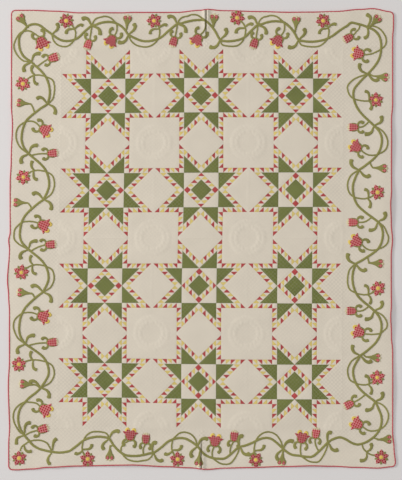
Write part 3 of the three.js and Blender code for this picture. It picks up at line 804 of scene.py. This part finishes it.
# Joints of the vine. Columns: kind, side, place along it, distance in from the edge, share of the way on
# at which a thin stem crosses, the flower on that stem (along from the crossing, in, and degrees that it
# leans along the way from straight in), and the flower at the joint (along from it, in). Inner joints bear
# a bud and lead to an open tulip, and outer joints bear a closed tulip and lead to a rose. Where a corner
# has its own shape, there is no flower.
VINE_JOINTS = [
    ("inner", "top", 561, 164, 0.36, (19, 142, 30), (18, 108)),
    ("outer", "top", 328, 80, 0.36, (41, 43, -10), (12, 159)),
    ("inner", "top", 110, 169, 0.35, (30, 143, 30), (40, 104)),
    ("outer", "top", -134, 70, 0.39, (25, 53, 17), (14, 147)),
    ("inner", "top", -416, 134, 0.33, (13, 140, 30), (11, 98)),
    ("outer", "top", -626, 79, 0.43, (47, 56, 12), (13, 162)),
    ("inner", "top", -859, 138, 0, None, None),
    ("outer", "left", 1020, 119, 0.35, (42, 72, 27), None),
    ("inner", "left", 778, 217, 0.36, (32, 170, 31), (0, 111)),
    ("outer", "left", 493, 104, 0.4, (30, 80, 23), (2, 217)),
    ("inner", "left", 229, 196, 0.46, (5, 167, 22), (20, 98)),
    ("outer", "left", -56, 109, 0.4, (36, 78, -8), (-24, 209)),
    ("inner", "left", -303, 196, 0.41, (9, 165, 18), (8, 128)),
    ("outer", "left", -599, 92, 0.42, (13, 58, -18), (-4, 218)),
    ("inner", "left", -852, 185, 0, None, (-17, 143)),
    ("outer", "left", -1122, 87, 0, None, None),
    ("outer", "bottom", -758, 92, 0.36, (25, 44, -2), None),
    ("inner", "bottom", -528, 162, 0.28, (48, 150, 8), (6, 112)),
    ("outer", "bottom", -275, 80, 0.45, (27, 49, -5), (-43, 132)),
    ("inner", "bottom", -20, 128, 0.36, (10, 129, 8), (12, 93)),
    ("outer", "bottom", 222, 122, 0.37, (1, 47, 32), (-34, 154)),
    ("inner", "bottom", 472, 107, 0.4, (0, 139, 8), (-1, 88)),
    ("outer", "bottom", 731, 140, 0, None, (-75, 165)),
    ("inner", "bottom", 850, 154, 0, None, None),
    ("outer", "right", -935, 103, 0.4, (34, 91, 16), None),
    ("inner", "right", -668, 186, 0.5, (-3, 162, 19), (-8, 149)),
    ("outer", "right", -412, 100, 0.38, (28, 80, 2), (0, 206)),
    ("inner", "right", -142, 212, 0.345, (32, 180, 27), (6, 129)),
    ("outer", "right", 99, 80, 0.48, (27, 84, 0), (-1, 197)),
    ("inner", "right", 398, 192, 0.35, (28, 182, 32), (13, 106)),
    ("outer", "right", 651, 103, 0.52, (-6, 98, 18), (-7, 195)),
    ("inner", "right", 950, 146, 0, None, (-13, 103)),
    ("outer", "right", 1320, 97, 0, None, None),
    ("outer", "top", 840, 89, 0.4, (26, 56, 10), None),
]
# Stem from an inner to an outer joint, and back, on the long sides and on the narrower head and foot.
# Columns: share of the way, distance in from the edge.
STEM = {"inner": {
    "long": [(0, 200), (0.08, 168), (0.16, 140), (0.25, 110), (0.34, 87), (0.46, 70), (0.6, 61), (0.74, 61),
             (0.86, 72), (0.94, 87), (1, 102)],
    "short": [(0, 135), (0.1, 105), (0.2, 83), (0.35, 65), (0.5, 58), (0.65, 59), (0.8, 71), (0.92, 85),
              (1, 90)],
}, "outer": {
    "long": [(0, 102), (0.1, 134), (0.19, 164), (0.3, 194), (0.42, 214), (0.57, 226), (0.71, 228),
             (0.84, 219), (0.94, 207), (1, 200)],
    "short": [(0, 90), (0.1, 105), (0.2, 123), (0.32, 147), (0.44, 163), (0.58, 172), (0.72, 171),
              (0.86, 157), (1, 135)],
}}
# Stem round the corners, from the joint of that number to the next, in millimetres from the quilt's middle
CORNER_RUNS = {
    6: [(-859, 1180), (-892, 1203), (-925, 1228), (-955, 1236), (-988, 1228), (-1017, 1199), (-1040, 1171),
        (-1046, 1137), (-1041, 1094), (-1023, 1056), (-998, 1034)],
    14: [(-919, -852), (-948, -881), (-983, -907), (-1011, -936), (-1034, -964), (-1047, -999),
         (-1050, -1036), (-1043, -1076), (-1029, -1105)],
    15: [(-1011, -1131), (-988, -1157), (-965, -1183), (-931, -1203), (-891, -1214), (-850, -1222),
         (-804, -1225)],
    22: [(731, -1166), (760, -1148), (797, -1138), (829, -1148)],
    23: [(869, -1171), (903, -1179), (944, -1168), (978, -1148), (1007, -1122), (1027, -1091), (1037, -1056),
         (1036, -1016), (1021, -976)],
    31: [(958, 950), (978, 971), (1001, 999), (1021, 1031), (1032, 1065), (1036, 1106), (1032, 1146),
         (1018, 1178), (995, 1201)],
    32: [(967, 1215), (932, 1229), (898, 1238), (863, 1244)],
}
STEM_WIDTH, STEM_HEIGHT = 13.5, 1.5


# Smooth line through points, with a point about every step
def smooth_line(points, step=4.0, closed=False):
    points = np.asarray(points, float)
    if closed:
        row = np.concatenate([points[-1:], points, points[:2]])
    else:
        row = np.concatenate([[2 * points[0] - points[1]], points, [2 * points[-1] - points[-2]]])
    line = []
    for a, b, c, d in zip(row, row[1:], row[2:], row[3:]):
        count = max(2, round(np.linalg.norm(c - b) / step))
        t = (np.arange(count) / count)[:, None]
        line.append(0.5 * (2 * b + (c - a) * t + (2 * a - 5 * b + 4 * c - d) * t ** 2
                           + (3 * b - a - 3 * c + d) * t ** 3))
    if not closed:
        line.append(points[-1:])
    return np.concatenate(line)


# Cloth cut out and sewn on: all the cuttings of one kind make one piece, each sewn close to the border
SEWN_AT = 5.25
TURNED_EDGE = -2.1
# Height below which the turned edge of a cutting is painted darker: painted shade at its edge, with a little
# dust
SHADED_AND_DUSTY_BELOW = 0.9


# Faces between the rows of a grid of point numbers
def grid_faces(numbers):
    corners = [numbers[:-1, :-1], numbers[1:, :-1], numbers[1:, 1:], numbers[:-1, 1:]]
    return np.stack(corners, -1).reshape(-1, 4).tolist()


# Distance along a line of points
def run_of(line):
    return np.concatenate([[0], np.cumsum(np.linalg.norm(np.diff(line, axis=0), axis=1))])


class Cuttings:
    def __init__(self):
        self.points, self.heights, self.faces, self.print_uv, self.tones = [], [], [], [], []
        self.count = 0

    def add(self, points, heights, faces, print_uv, tone):
        self.points.append(points)
        self.heights.append(heights)
        self.faces += [[corner + self.count for corner in face] for face in faces]
        self.print_uv.append(print_uv)
        self.tones += [tone] * len(faces)
        self.count += len(points)

    # A strip along a line, rounded across, with a blunt round end where it has one
    def strip(self, line, width, height, tone, round_end=False, closed=False):
        aside = left_of(line, closed)
        run = run_of(line)
        width = np.broadcast_to(width, len(line)).astype(float)
        if round_end:
            left = np.clip((run[-1] - run) / (width[-1] * 0.22), 0, 1)
            width = width * np.sqrt(np.clip(1 - (1 - left) ** 2, 0.2, 1))
        shares = np.array([-1, -1, -0.7, 0, 0.7, 1, 1])
        side = [TURNED_EDGE, 0.2 * height, 0.8 * height]
        rises = np.array([*side, height, *side[::-1]])
        points = line[:, None, :] + aside[:, None, :] * (shares[None, :, None] * width[:, None, None] / 2)
        heights = np.broadcast_to(rises, (len(line), len(rises)))
        numbers = np.arange(heights.size).reshape(heights.shape)
        faces = grid_faces(np.concatenate([numbers, numbers[:1]]) if closed else numbers)
        print_uv = np.stack(np.broadcast_arrays(run[:, None], shares * 5), -1)
        self.add(points.reshape(-1, 2), heights.reshape(-1), faces, print_uv.reshape(-1, 2), tone)

    # A flat cutting, made once in its own frame and laid with its axis one way
    def lay(self, cutting, at, axis, scale, tone):
        local, heights, faces = cutting
        axis = np.asarray(axis, float) / np.linalg.norm(axis)
        right = np.array([axis[1], -axis[0]])
        points = np.asarray(at) + scale * (local[:, :1] * right + local[:, 1:] * axis)
        self.add(points, heights, faces, local, tone)

    def piece(self, name, cloth):
        places, heights = np.concatenate(self.points), np.concatenate(self.heights)
        # The seam layer paints shade with a little dust along the low turned edges, and the crease layer
        # paints the crease shadow with its dust
        layers = {"tone": self.tones, "seam": np.clip(1 - heights / SHADED_AND_DUSTY_BELOW, 0, 1), "crease_shade_and_dust": crease_shade_and_dust(places)}
        heights = SEWN_AT + heights + lift(places) + cockle(places)
        return cloth_piece(name, places, heights, self.faces, [cloth], layers,
                           ("cut", np.concatenate(self.print_uv) / 1000))


# Fills an outline of millimetre points with a low swelling cutting, edges turned under. Soft corners.
CUT_SOFTEN, CUT_SPACING, CUT_CLEAR, CUT_EDGE, CUT_EASE = 0.13, 4.5, 1.8, 0.2, 2.5


def cut_shape(outline, swell, under=0.0):
    ring = np.asarray(outline, float)
    for _ in range(2):
        after = np.roll(ring, -1, axis=0)
        near, far = 1 - CUT_SOFTEN, CUT_SOFTEN
        ring = np.stack([ring * near + after * far, ring * far + after * near], 1).reshape(-1, 2)
    across, along = (np.arange(*span, CUT_SPACING) for span in zip(ring.min(axis=0), ring.max(axis=0)))
    grid = np.stack(np.meshgrid(across, along), -1)
    grid[1::2, :, 0] += CUT_SPACING / 2
    grid = grid.reshape(-1, 2)
    sides = list(zip(ring, np.roll(ring, -1, axis=0)))
    gap = np.min([distance_to(grid, start, end) for start, end in sides], axis=0)
    local, faces = filled_ring(ring, grid[gap > CUT_CLEAR])
    gap = np.min([distance_to(local, start, end) for start, end in sides], axis=0)
    heights = CUT_EDGE + under + swell * (1 - np.exp(-gap / CUT_EASE))
    hem = np.array([np.argmin(np.linalg.norm(local - at, axis=1)) for at in ring])
    tuck = len(local) + np.arange(len(ring))
    turned_in = np.stack([np.roll(hem, -1), hem, tuck, np.roll(tuck, -1)], 1)
    local = np.concatenate([local, ring])
    heights = np.concatenate([heights, np.full(len(ring), TURNED_EDGE)])
    return local, heights, faces.tolist() + turned_in.tolist()


def mirrored(half):
    return half + [(-x, y) for x, y in half[::-1] if abs(x) > 0.01]


# The way from each joint to the next: side, start, length, and the rows of the stem with the joints' own
# distances in. A joint off its usual place draws the stem with it for a third of the way.
halves = []
joint_way = [way_along(side, at) for _, side, at, *_ in VINE_JOINTS]
for k, (kind, side, _, inward, *_) in enumerate(VINE_JOINTS):
    after = (k + 1) % len(VINE_JOINTS)
    width = "short" if side in ("top", "bottom") else "long"
    share, depth = np.array(STEM[kind][width]).T
    depth = depth + (inward - depth[0]) * np.clip(1 - 3 * share, 0, 1)
    depth = depth + (VINE_JOINTS[after][3] - depth[-1]) * np.clip(3 * share - 2, 0, 1)
    halves.append((width, joint_way[k], (joint_way[after] - joint_way[k]) % WAY_LENGTH, share, depth))


def stem_depth(k, share):
    return float(np.interp(share, *halves[k][3:]))


stem_points = []
for k, (_, start, length, share, depth) in enumerate(halves):
    stem_points += CORNER_RUNS.get(k, on_border(start + length * share, depth)[:-1].tolist())
cut_rng = np.random.default_rng(5)


def any_tone():
    return cut_rng.uniform(0.1, 0.9)


vine = Cuttings()
vine.strip(smooth_line(stem_points, closed=True), STEM_WIDTH, STEM_HEIGHT, 0.5, closed=True)
olive_cotton = quilted_cotton("olive_green_cotton", "#908c50", 0.1, 0.09, 0.0)
vine_stem = vine.piece("vine_stem", olive_cotton)


# Thin stems: narrower strips of the same olive cotton. One swings outside each outer bend and crosses the
# vine to a tulip, one swings inside each inner bend and crosses it to a rose, and short ones bear the rest.
THIN_WIDTH, THIN_HEIGHT = 9, 1.1
# Columns: share of the way from the crossing to the joint, distance in from the edge
SWING = {"inner": {
    "long": [(0.92, 78), (0.81, 54), (0.64, 35), (0.45, 26), (0.25, 31), (0.11, 50)],
    "short": [(0.94, 65), (0.82, 43), (0.66, 31), (0.48, 25), (0.28, 31), (0.13, 47)],
}, "outer": {
    "long": [(0.95, 214), (0.8, 242), (0.55, 257), (0.32, 257), (0.12, 244)],
    "short": [(0.92, 170), (0.75, 195), (0.5, 206), (0.28, 201), (0.1, 180)],
}}
# Where a closed tulip's stem leaves the vine, along from the joint, and how far it bulges back
CLOSED_START = {"top": (0, 0), "left": (12, -5), "bottom": (-54, -8), "right": (28, -11)}
# How far a closed tulip or a bud leans along the way, in degrees from straight in
CLOSED_LEAN = {"top": 16, "left": -5, "bottom": 6, "right": 0}
BUD_LEAN = 184
# How far a stem swings out past its crossing, as a share of its length, and how far a bud's stem slopes
SWING_BULGE = {"inner": -0.06, "outer": -0.09}
BUD_SLOPE = 0.5
# How late each kind of stem bends
BIG_BEND, BUD_BEND, CLOSED_BEND = 3, 2.2, 1
# Stems of the corners, in millimetres from the quilt's middle
CORNER_STEMS = [
    [(-977, 1019), (-1023, 1027), (-1060, 1065), (-1075, 1106), (-1065, 1146), (-1036, 1187), (-994, 1198),
     (-965, 1187), (-928, 1162)],
    [(-1017, -1122), (-1040, -1108), (-1060, -1079), (-1075, -1045), (-1078, -1010), (-1069, -979),
     (-1046, -953), (-1017, -937), (-983, -936), (-948, -942), (-925, -959)],
    [(998, -936), (1030, -944), (1059, -967), (1076, -1002), (1073, -1039), (1056, -1071), (1030, -1090),
     (995, -1101), (961, -1098), (929, -1077)],
    [(961, 1224), (995, 1224), (1027, 1209), (1050, 1183), (1064, 1152), (1061, 1120), (1041, 1097),
     (1013, 1080), (978, 1065), (938, 1060)],
    [(-943, 991), (-908, 1017), (-876, 1037)],
    [(-1012, -1127), (-977, -1108), (-937, -1098)],
    [(945, -892), (926, -907), (906, -921), (880, -936)],
    [(912, 1232), (909, 1212), (892, 1192), (877, 1175)],
    [(-859, -1217), (-868, -1197), (-885, -1171), (-914, -1157), (-948, -1154), (-983, -1160), (-1006, -1174),
     (-1029, -1191), (-1039, -1217)],
    [(926, -1177), (932, -1200), (949, -1220), (972, -1235), (1001, -1243)],
    [(-1003, 1222), (-1010, 1240)],
    [(967, 1218), (981, 1232)],
    [(990, -1140), (1024, -1151)],
]
# Flowers of the corners: place of the foot, or of the middle of a rose, and the way each points
flower_places = {
    "tulip": [((-928, 1161), (0.42, -0.9)), ((-925, -964), (0.9, -0.44)), ((926, -1074), (-0.88, 0.48)),
              ((935, 1060), (-0.97, 0.22))],
    "closed": [((-876, 1034), (0.95, 0.32)), ((-937, -1098), (0.96, 0.29)), ((877, -936), (-0.9, -0.43)),
               ((873, 1171), (-0.87, -0.49))],
    "rose": [((-1044, -1258), (-0.07, 1)), ((1036, -1252), (0, 1))],
    "bud": [((-999, 1223), (-0.62, 0.78)), ((973, 1223), (0.67, 0.74)), ((1020, -1151), (1, 0))],
}
thin = Cuttings()


# Direction on the border of an axis that leans along the way from straight in
def border_axis(along, inward, lean):
    here = on_border(along, inward)
    ahead, deeper = on_border(along + 1, inward) - here, on_border(along, inward + 1) - here
    ahead, deeper = ahead / np.linalg.norm(ahead), deeper / np.linalg.norm(deeper)
    return here, ahead * math.sin(math.radians(lean)) + deeper * math.cos(math.radians(lean))


# Rows of a stem from one place on the border to another, bulging along the way, and bent most near its end
def stem_rows(start, end, bulge, bend):
    share = np.linspace(0.2, 1, 5)
    along = start[0] + (end[0] - start[0]) * share ** bend + bulge * np.sin(math.pi * share)
    return list(zip(along, start[1] + (end[1] - start[1]) * share))


def sew_stem(rows):
    rows = np.array(rows, float)
    thin.strip(smooth_line(on_border(rows[:, 0], rows[:, 1])), THIN_WIDTH, THIN_HEIGHT, any_tone())


for k, (kind, side, _, _, crossing, big, small) in enumerate(VINE_JOINTS):
    width, start, length, _, _ = halves[k]
    end, end_in = start + length, VINE_JOINTS[(k + 1) % len(VINE_JOINTS)][3]
    if big:
        swing = np.array(SWING[kind][width])
        usual = STEM[kind][width][-1][1]
        swing[:, 1] += (end_in - usual) * np.clip(3 * swing[:, 0] - 2, 0, 1)
        at = start + crossing * length
        cross_in = stem_depth(k, crossing)
        rows = [(end, end_in), *((at + (end - at) * s, deep) for s, deep in swing), (at, cross_in)]
        bulge = SWING_BULGE[kind] * abs(big[1] - cross_in)
        rows += stem_rows((at, cross_in), (at + big[0], big[1]), bulge, BIG_BEND)
        sew_stem(rows)
        flower_places["tulip" if kind == "inner" else "rose"].append(border_axis(at + big[0], *big[1:]))
    if small and kind == "inner":
        along, deep = small
        leave = along + BUD_SLOPE * (stem_depth(k, along / length) - deep)
        foot, on_vine = (start + along, deep), (start + leave, stem_depth(k, leave / length))
        sew_stem([*stem_rows(foot, on_vine, 0, BUD_BEND)[::-1], foot])
        flower_places["bud"].append(border_axis(*foot, BUD_LEAN))
    elif small:
        leave, bulge = CLOSED_START[side]
        half = k if leave >= 0 else k - 1
        gone = (start + leave - halves[half][1]) % WAY_LENGTH
        rows = [(start + leave, stem_depth(half, gone / halves[half][2]))]
        rows += stem_rows(rows[0], (start + small[0], small[1]), bulge, CLOSED_BEND)
        sew_stem(rows)
        flower_places["closed"].append(border_axis(start + small[0], small[1], CLOSED_LEAN[side]))
for row in CORNER_STEMS:
    thin.strip(smooth_line(row), THIN_WIDTH, THIN_HEIGHT, any_tone())
vine_stems = thin.piece("vine_thin_stems", olive_cotton)


# Leaves: curled comma shapes of the same olive cotton, narrow where they leave a stem and blunt at the end.
# Two stand at each joint, two on each rose stem, and two curl back below each tulip like a ram's horns.
LEAF_START, LEAF_END, ROSE_LEAF_END, CORNER_LEAF_END, HORN_END = 9, 25, 21, 23, 22
LEAF_HEIGHT, LEAF_TAPER = 1.4, 1.2
# Joints by number: those with no leaves of this kind, and the one with a single leaf
BARE_JOINTS, ONE_LEAF_JOINT = (15, 16, 23, 32, 33), 6
# Columns: along from the joint, in from the joint. Leaves towards the edge and towards the field.
JOINT_LEAVES = {
    "inner": [[(0, 0), (-12, -11), (-31, -28), (-38, -48), (-28, -66)],
              [(0, 0), (6, 13), (18, 35), (40, 46), (62, 41)]],
    "outer": [[(0, 0), (8, -10), (20, -35), (40, -44), (59, -37)],
              [(0, 0), (-12, 7), (-35, 16), (-46, 36), (-46, 57)]],
}
FOOT_LEAF = [(0, 0), (-4, 14), (-4, 46), (6, 62), (22, 58)]
# Columns: along from the crossing, in from the edge
ROSE_LEAVES = {
    "long": [[(-7, 141), (-26, 125), (-46, 122), (-64, 130)], [(-8, 138), (12, 136), (36, 142), (46, 162)]],
    "short": [[(-3, 97), (-17, 83), (-36, 75), (-51, 81)],
              [(-4, 101), (14, 101), (33, 104), (46, 117), (48, 133)]],
}
# Columns: to one side of the flower's foot, and along its axis
HORN = [(7, 3), (21, 3), (33, -6), (35, -23), (24, -36)]
HORN_SCALES = {"tulip": 1.0, "closed": 0.85}
CORNER_LEAVES = [
    [(-853, -1212), (-850, -1183), (-842, -1157), (-827, -1145)],
    [(-859, -1229), (-876, -1252), (-879, -1275), (-865, -1295)],
    [(-1016, -1182), (-1011, -1206), (-994, -1220), (-971, -1217)],
    [(-1014, -1119), (-1011, -1079), (-1000, -1059), (-977, -1053)],
    [(-1015, -1126), (-1052, -1140), (-1060, -1157), (-1060, -1180)],
    [(952, -1220), (972, -1209), (981, -1189), (975, -1171)],
    [(952, -1229), (952, -1252), (938, -1269), (912, -1272)],
    [(957, 1222), (972, 1252), (972, 1278), (949, 1293)],
    [(955, 1218), (961, 1192), (955, 1166), (935, 1155)],
]
leaves = Cuttings()


def add_leaf(points, end_width=LEAF_END):
    line = smooth_line(points)
    width = LEAF_START + (end_width - LEAF_START) * np.linspace(0, 1, len(line)) ** LEAF_TAPER
    leaves.strip(line, width * cut_rng.uniform(0.94, 1.06), LEAF_HEIGHT, any_tone(), round_end=True)


for k, (kind, side, _, inward, crossing, big, _) in enumerate(VINE_JOINTS):
    width, start, length, _, _ = halves[k]
    pair = JOINT_LEAVES[kind]
    if k == ONE_LEAF_JOINT:
        pair = pair[:1]
    elif k in BARE_JOINTS:
        pair = []
    elif kind == "outer" and side == "bottom":
        pair = [pair[0], FOOT_LEAF]
    for leaf in pair:
        add_leaf([on_border(start + along, inward + deep) for along, deep in leaf])
    if big and kind == "outer":
        for leaf in ROSE_LEAVES[width]:
            add_leaf([on_border(start + crossing * length + along, deep) for along, deep in leaf],
                     ROSE_LEAF_END)
for leaf in CORNER_LEAVES:
    add_leaf(leaf, CORNER_LEAF_END)
for kind, scale in HORN_SCALES.items():
    for at, axis in flower_places[kind]:
        axis = scale * np.asarray(axis)
        right = np.array([axis[1], -axis[0]])
        for side in (1, -1):
            add_leaf([np.asarray(at) + side * u * right + v * axis for u, v in HORN], HORN_END)
vine_leaves = leaves.piece("vine_leaves", olive_cotton)


# Flowers: cut from a rose-red checked print, each in a few parts turned under and sewn on the border.
# Roses have five pointed petals, green sepals between and a yellow eye. Open tulips show yellow petals
# between the red, closed ones a pale fringe, and the buds sit in a green cup.
ROSE_PETAL = mirrored([(0, 4), (8, 8), (15, 18), (15, 27), (9, 36), (0, 47)])
ROSE_SEPAL = mirrored([(0, 12), (8, 19), (9, 30), (5, 37), (0, 43)])
EYE_RADIUS = 11.5
ROSE_EYE = [(EYE_RADIUS * math.cos(turn), EYE_RADIUS * math.sin(turn))
            for turn in np.arange(16) * math.tau / 16]
TULIP_CUP = mirrored([(0, -2), (14, 0), (22, 8), (25, 20), (29, 31), (48, 49), (38, 53), (29, 50), (26, 61),
                      (18, 69), (10, 64), (0, 56)])
TULIP_TIP = [(4, 50), (31, 50), (34, 61), (27, 73), (17, 77), (7, 69)]
TULIP_BASE = mirrored([(0, -6), (16, -4), (27, 6), (31, 20), (33, 30), (24, 30), (0, 20)])
CLOSED_CUP = mirrored([(0, -2), (11, 1), (18, 8), (21, 22), (23, 44), (22, 58), (14, 51), (8, 60), (0, 54)])
CLOSED_TIP = mirrored([(0, 36), (15, 40), (18, 66), (10, 57), (5, 70), (0, 59)])
CLOSED_BASE = mirrored([(0, -6), (13, -3), (21, 7), (25, 22), (26, 40), (18, 38), (0, 20)])
BUD_CUP = mirrored([(0, -12), (4.5, -9), (6, 8), (10, 26), (17, 40), (25, 52), (27, 62), (25, 71), (0, 70)])
BUD_RED = [(1, 66), (5, 52), (12, 46), (20, 54), (23, 64), (20, 73), (8, 75)]
BUD_FRINGE = mirrored([(0, 62), (16, 66), (22, 82), (11, 77), (0, 85)])


def flipped(outline):
    return [(-x, y) for x, y in outline[::-1]]


# The print has faded browner along the head and foot than along the sides
HEAD_AND_FOOT = 1150


def flower_tone(at):
    return cut_rng.uniform(0.1, 0.4) if abs(at[1]) > HEAD_AND_FOOT else cut_rng.uniform(0.6, 0.9)


petal = cut_shape(ROSE_PETAL, 1.2)
sepal = cut_shape(ROSE_SEPAL, 0.8, -0.1)
eye = cut_shape(ROSE_EYE, 1.3, 0.9)
red_check, yellow_parts, pale_parts, green_parts = Cuttings(), Cuttings(), Cuttings(), Cuttings()
for at, axis in flower_places["rose"]:
    start = math.atan2(axis[1], axis[0]) + cut_rng.uniform(-0.05, 0.05)
    tone = flower_tone(at)
    for k in range(5):
        angle = start + k * math.tau / 5
        size = cut_rng.uniform(0.95, 1.05)
        red_check.lay(petal, at, (math.cos(angle), math.sin(angle)), size, tone)
        angle += math.tau / 10
        green_parts.lay(sepal, at, (math.cos(angle), math.sin(angle)), size, any_tone())
    yellow_parts.lay(eye, at, axis, cut_rng.uniform(0.92, 1.08), any_tone())
# Parts of the other flowers. Columns: kind, outline, cloth, swell, height over the border, on both sides.
FLOWER_PARTS = [
    ("tulip", TULIP_CUP, red_check, 1.6, 0, False), ("tulip", TULIP_TIP, yellow_parts, 0.9, -0.1, True),
    ("tulip", TULIP_BASE, green_parts, 0.8, -0.1, False), ("closed", CLOSED_CUP, red_check, 1.5, 0, False),
    ("closed", CLOSED_TIP, pale_parts, 0.8, -0.1, False),
    ("closed", CLOSED_BASE, green_parts, 0.8, -0.1, False),
    ("bud", BUD_CUP, green_parts, 1.2, 0, False), ("bud", BUD_RED, red_check, 0.5, 0.9, True),
    ("bud", BUD_FRINGE, pale_parts, 0.6, -0.1, False),
]
for kind, outline, cloth, swell, height, both in FLOWER_PARTS:
    lean_rng = np.random.default_rng(8)
    part = cut_shape(outline, swell, height)
    parts = [part, cut_shape(flipped(outline), swell, height)] if both else [part]
    for at, axis in flower_places[kind]:
        lean = math.atan2(axis[1], axis[0]) + lean_rng.uniform(-0.05, 0.05)
        size = lean_rng.uniform(0.95, 1.05)
        tone = flower_tone(at) if cloth is red_check else any_tone()
        for part in parts:
            cloth.lay(part, at, (math.cos(lean), math.sin(lean)), size, tone)
rose_check = quilted_cotton("rose_red_check_print", "#a8232d", 0.1, 0.06, 0.0,
                            ("check", "#db928f", 0.013, 0.8), spread=0.16)
warm_yellow = quilted_cotton("golden_yellow_cotton", "#e8cb62", 0.06, 0.05, 0.0)
pale_yellow = quilted_cotton("pale_straw_cotton", "#ddd2a8", 0.04, 0.04, 0.0)
flowers = [red_check.piece("flower_red_parts", rose_check),
           yellow_parts.piece("flower_yellow_parts", warm_yellow),
           pale_parts.piece("flower_pale_fringes", pale_yellow),
           green_parts.piece("flower_green_parts", olive_cotton)]


# Backing: one wide cream muslin sheet under the filling, taken into the binding all round. It lies flat
# on the floor, and the quilting draws it up a little along its lines.
BACK_RISE, BACK_DRAW, BACK_HEM = 0.25, 0.6, 1.1
# How far its lattice stops short of the edge, and of the rounded corners
BACK_CLEAR, BACK_CORNER_CLEAR = 10, 25
coarse = lattice_points(np.arange(-LATTICE * 3, LATTICE * 3 + 1, 2))[0]
coarse = coarse[edge_distance(coarse) > BACK_CLEAR]
coarse = coarse[np.abs(coarse).sum(axis=1) < HALF_WIDTH + HALF_LENGTH - BACK_CORNER_CLEAR]
even, triangles = filled_ring(raw_edge, coarse)
edge_gap = np.maximum(edge_distance(even) - RAW_EDGE_IN, 0)
relief = BACK_RISE + BACK_DRAW * (1 - hatch_pillow(even)) + BACK_HEM * np.exp(-edge_gap / BORDER_EASE)
backing = quilt_sheet("backing", even, relief, np.full(len(even), 99.0), np.ones(len(even)),
                      triangles[:, ::-1], np.zeros(len(triangles)), np.full(len(triangles), 0.5), [muslin])
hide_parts("quilt_body")


# Binding: a narrow strip of turkey-red cotton folded over the raw edge of all layers and hemmed down on
# both faces, one strip to a side. Its fold is plump over the filling, and the hemming puckers it a little.
# Columns: distance in from the outer edge, height
FOLD = [(7.2, 0.5), (6.4, 0.1), (1.6, 0.0), (0.5, 0.6), (0.0, 1.7), (0.0, 3.6), (0.5, 4.8), (1.7, 5.4),
        (4.0, 5.6), (6.0, 5.2), (6.8, 4.5), (6.4, 3.8), (4.0, 3.4), (4.0, 1.8)]
# Pitch of the puckers, and how far they draw the hems (deeper than 6) in and the top (above 4) up
PUCKER, PUCKER_IN, PUCKER_UP = 11, 1.0, 0.5
# Corner at which each strip starts
STRIP_STARTS = {"right": (1, -1), "top": (1, 1), "left": (-1, 1), "bottom": (-1, -1)}
starts = [int(np.argmax(rim @ way)) for way in STRIP_STARTS.values()]
deep, high = np.array(FOLD).T
rim_lift = lift(rim)
run = run_of(rim)
pucker = 0.5 * np.sin(run * math.tau / PUCKER + 1.7 * np.sin(run / 90)) * np.sin(run / 47) ** 2
turkey_red = quilted_cotton("turkey_red_binding", "#c4525a", 0.06, 0.06, 0.0)
for side, first, last in zip(STRIP_STARTS, starts, starts[1:] + starts[:1]):
    stations = np.arange(first, last + 1 if last > first else last + len(rim) + 1) % len(rim)
    depth = deep + np.where(deep > 6, PUCKER_IN, 0.0) * pucker[stations, None]
    rise = high + np.where(high > 4, PUCKER_UP, 0.0) * pucker[stations, None]
    places = rim[stations, None] + rim_in[stations, None] * depth[:, :, None]
    heights = rise + rim_lift[stations, None]
    numbers = np.arange(heights.size).reshape(heights.shape)
    faces = grid_faces(np.concatenate([numbers, numbers[:, :1]], axis=1))
    faces += [numbers[0, ::-1].tolist(), numbers[-1].tolist()]
    strip = cloth_piece(f"binding_fold_{side}", places.reshape(-1, 2), heights.ravel(), faces,
                        [turkey_red], {"tone": np.full(len(faces), 0.5)})
    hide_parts(f"binding_{side}")
    length = float(run_of(rim[stations])[-1] / 1000)
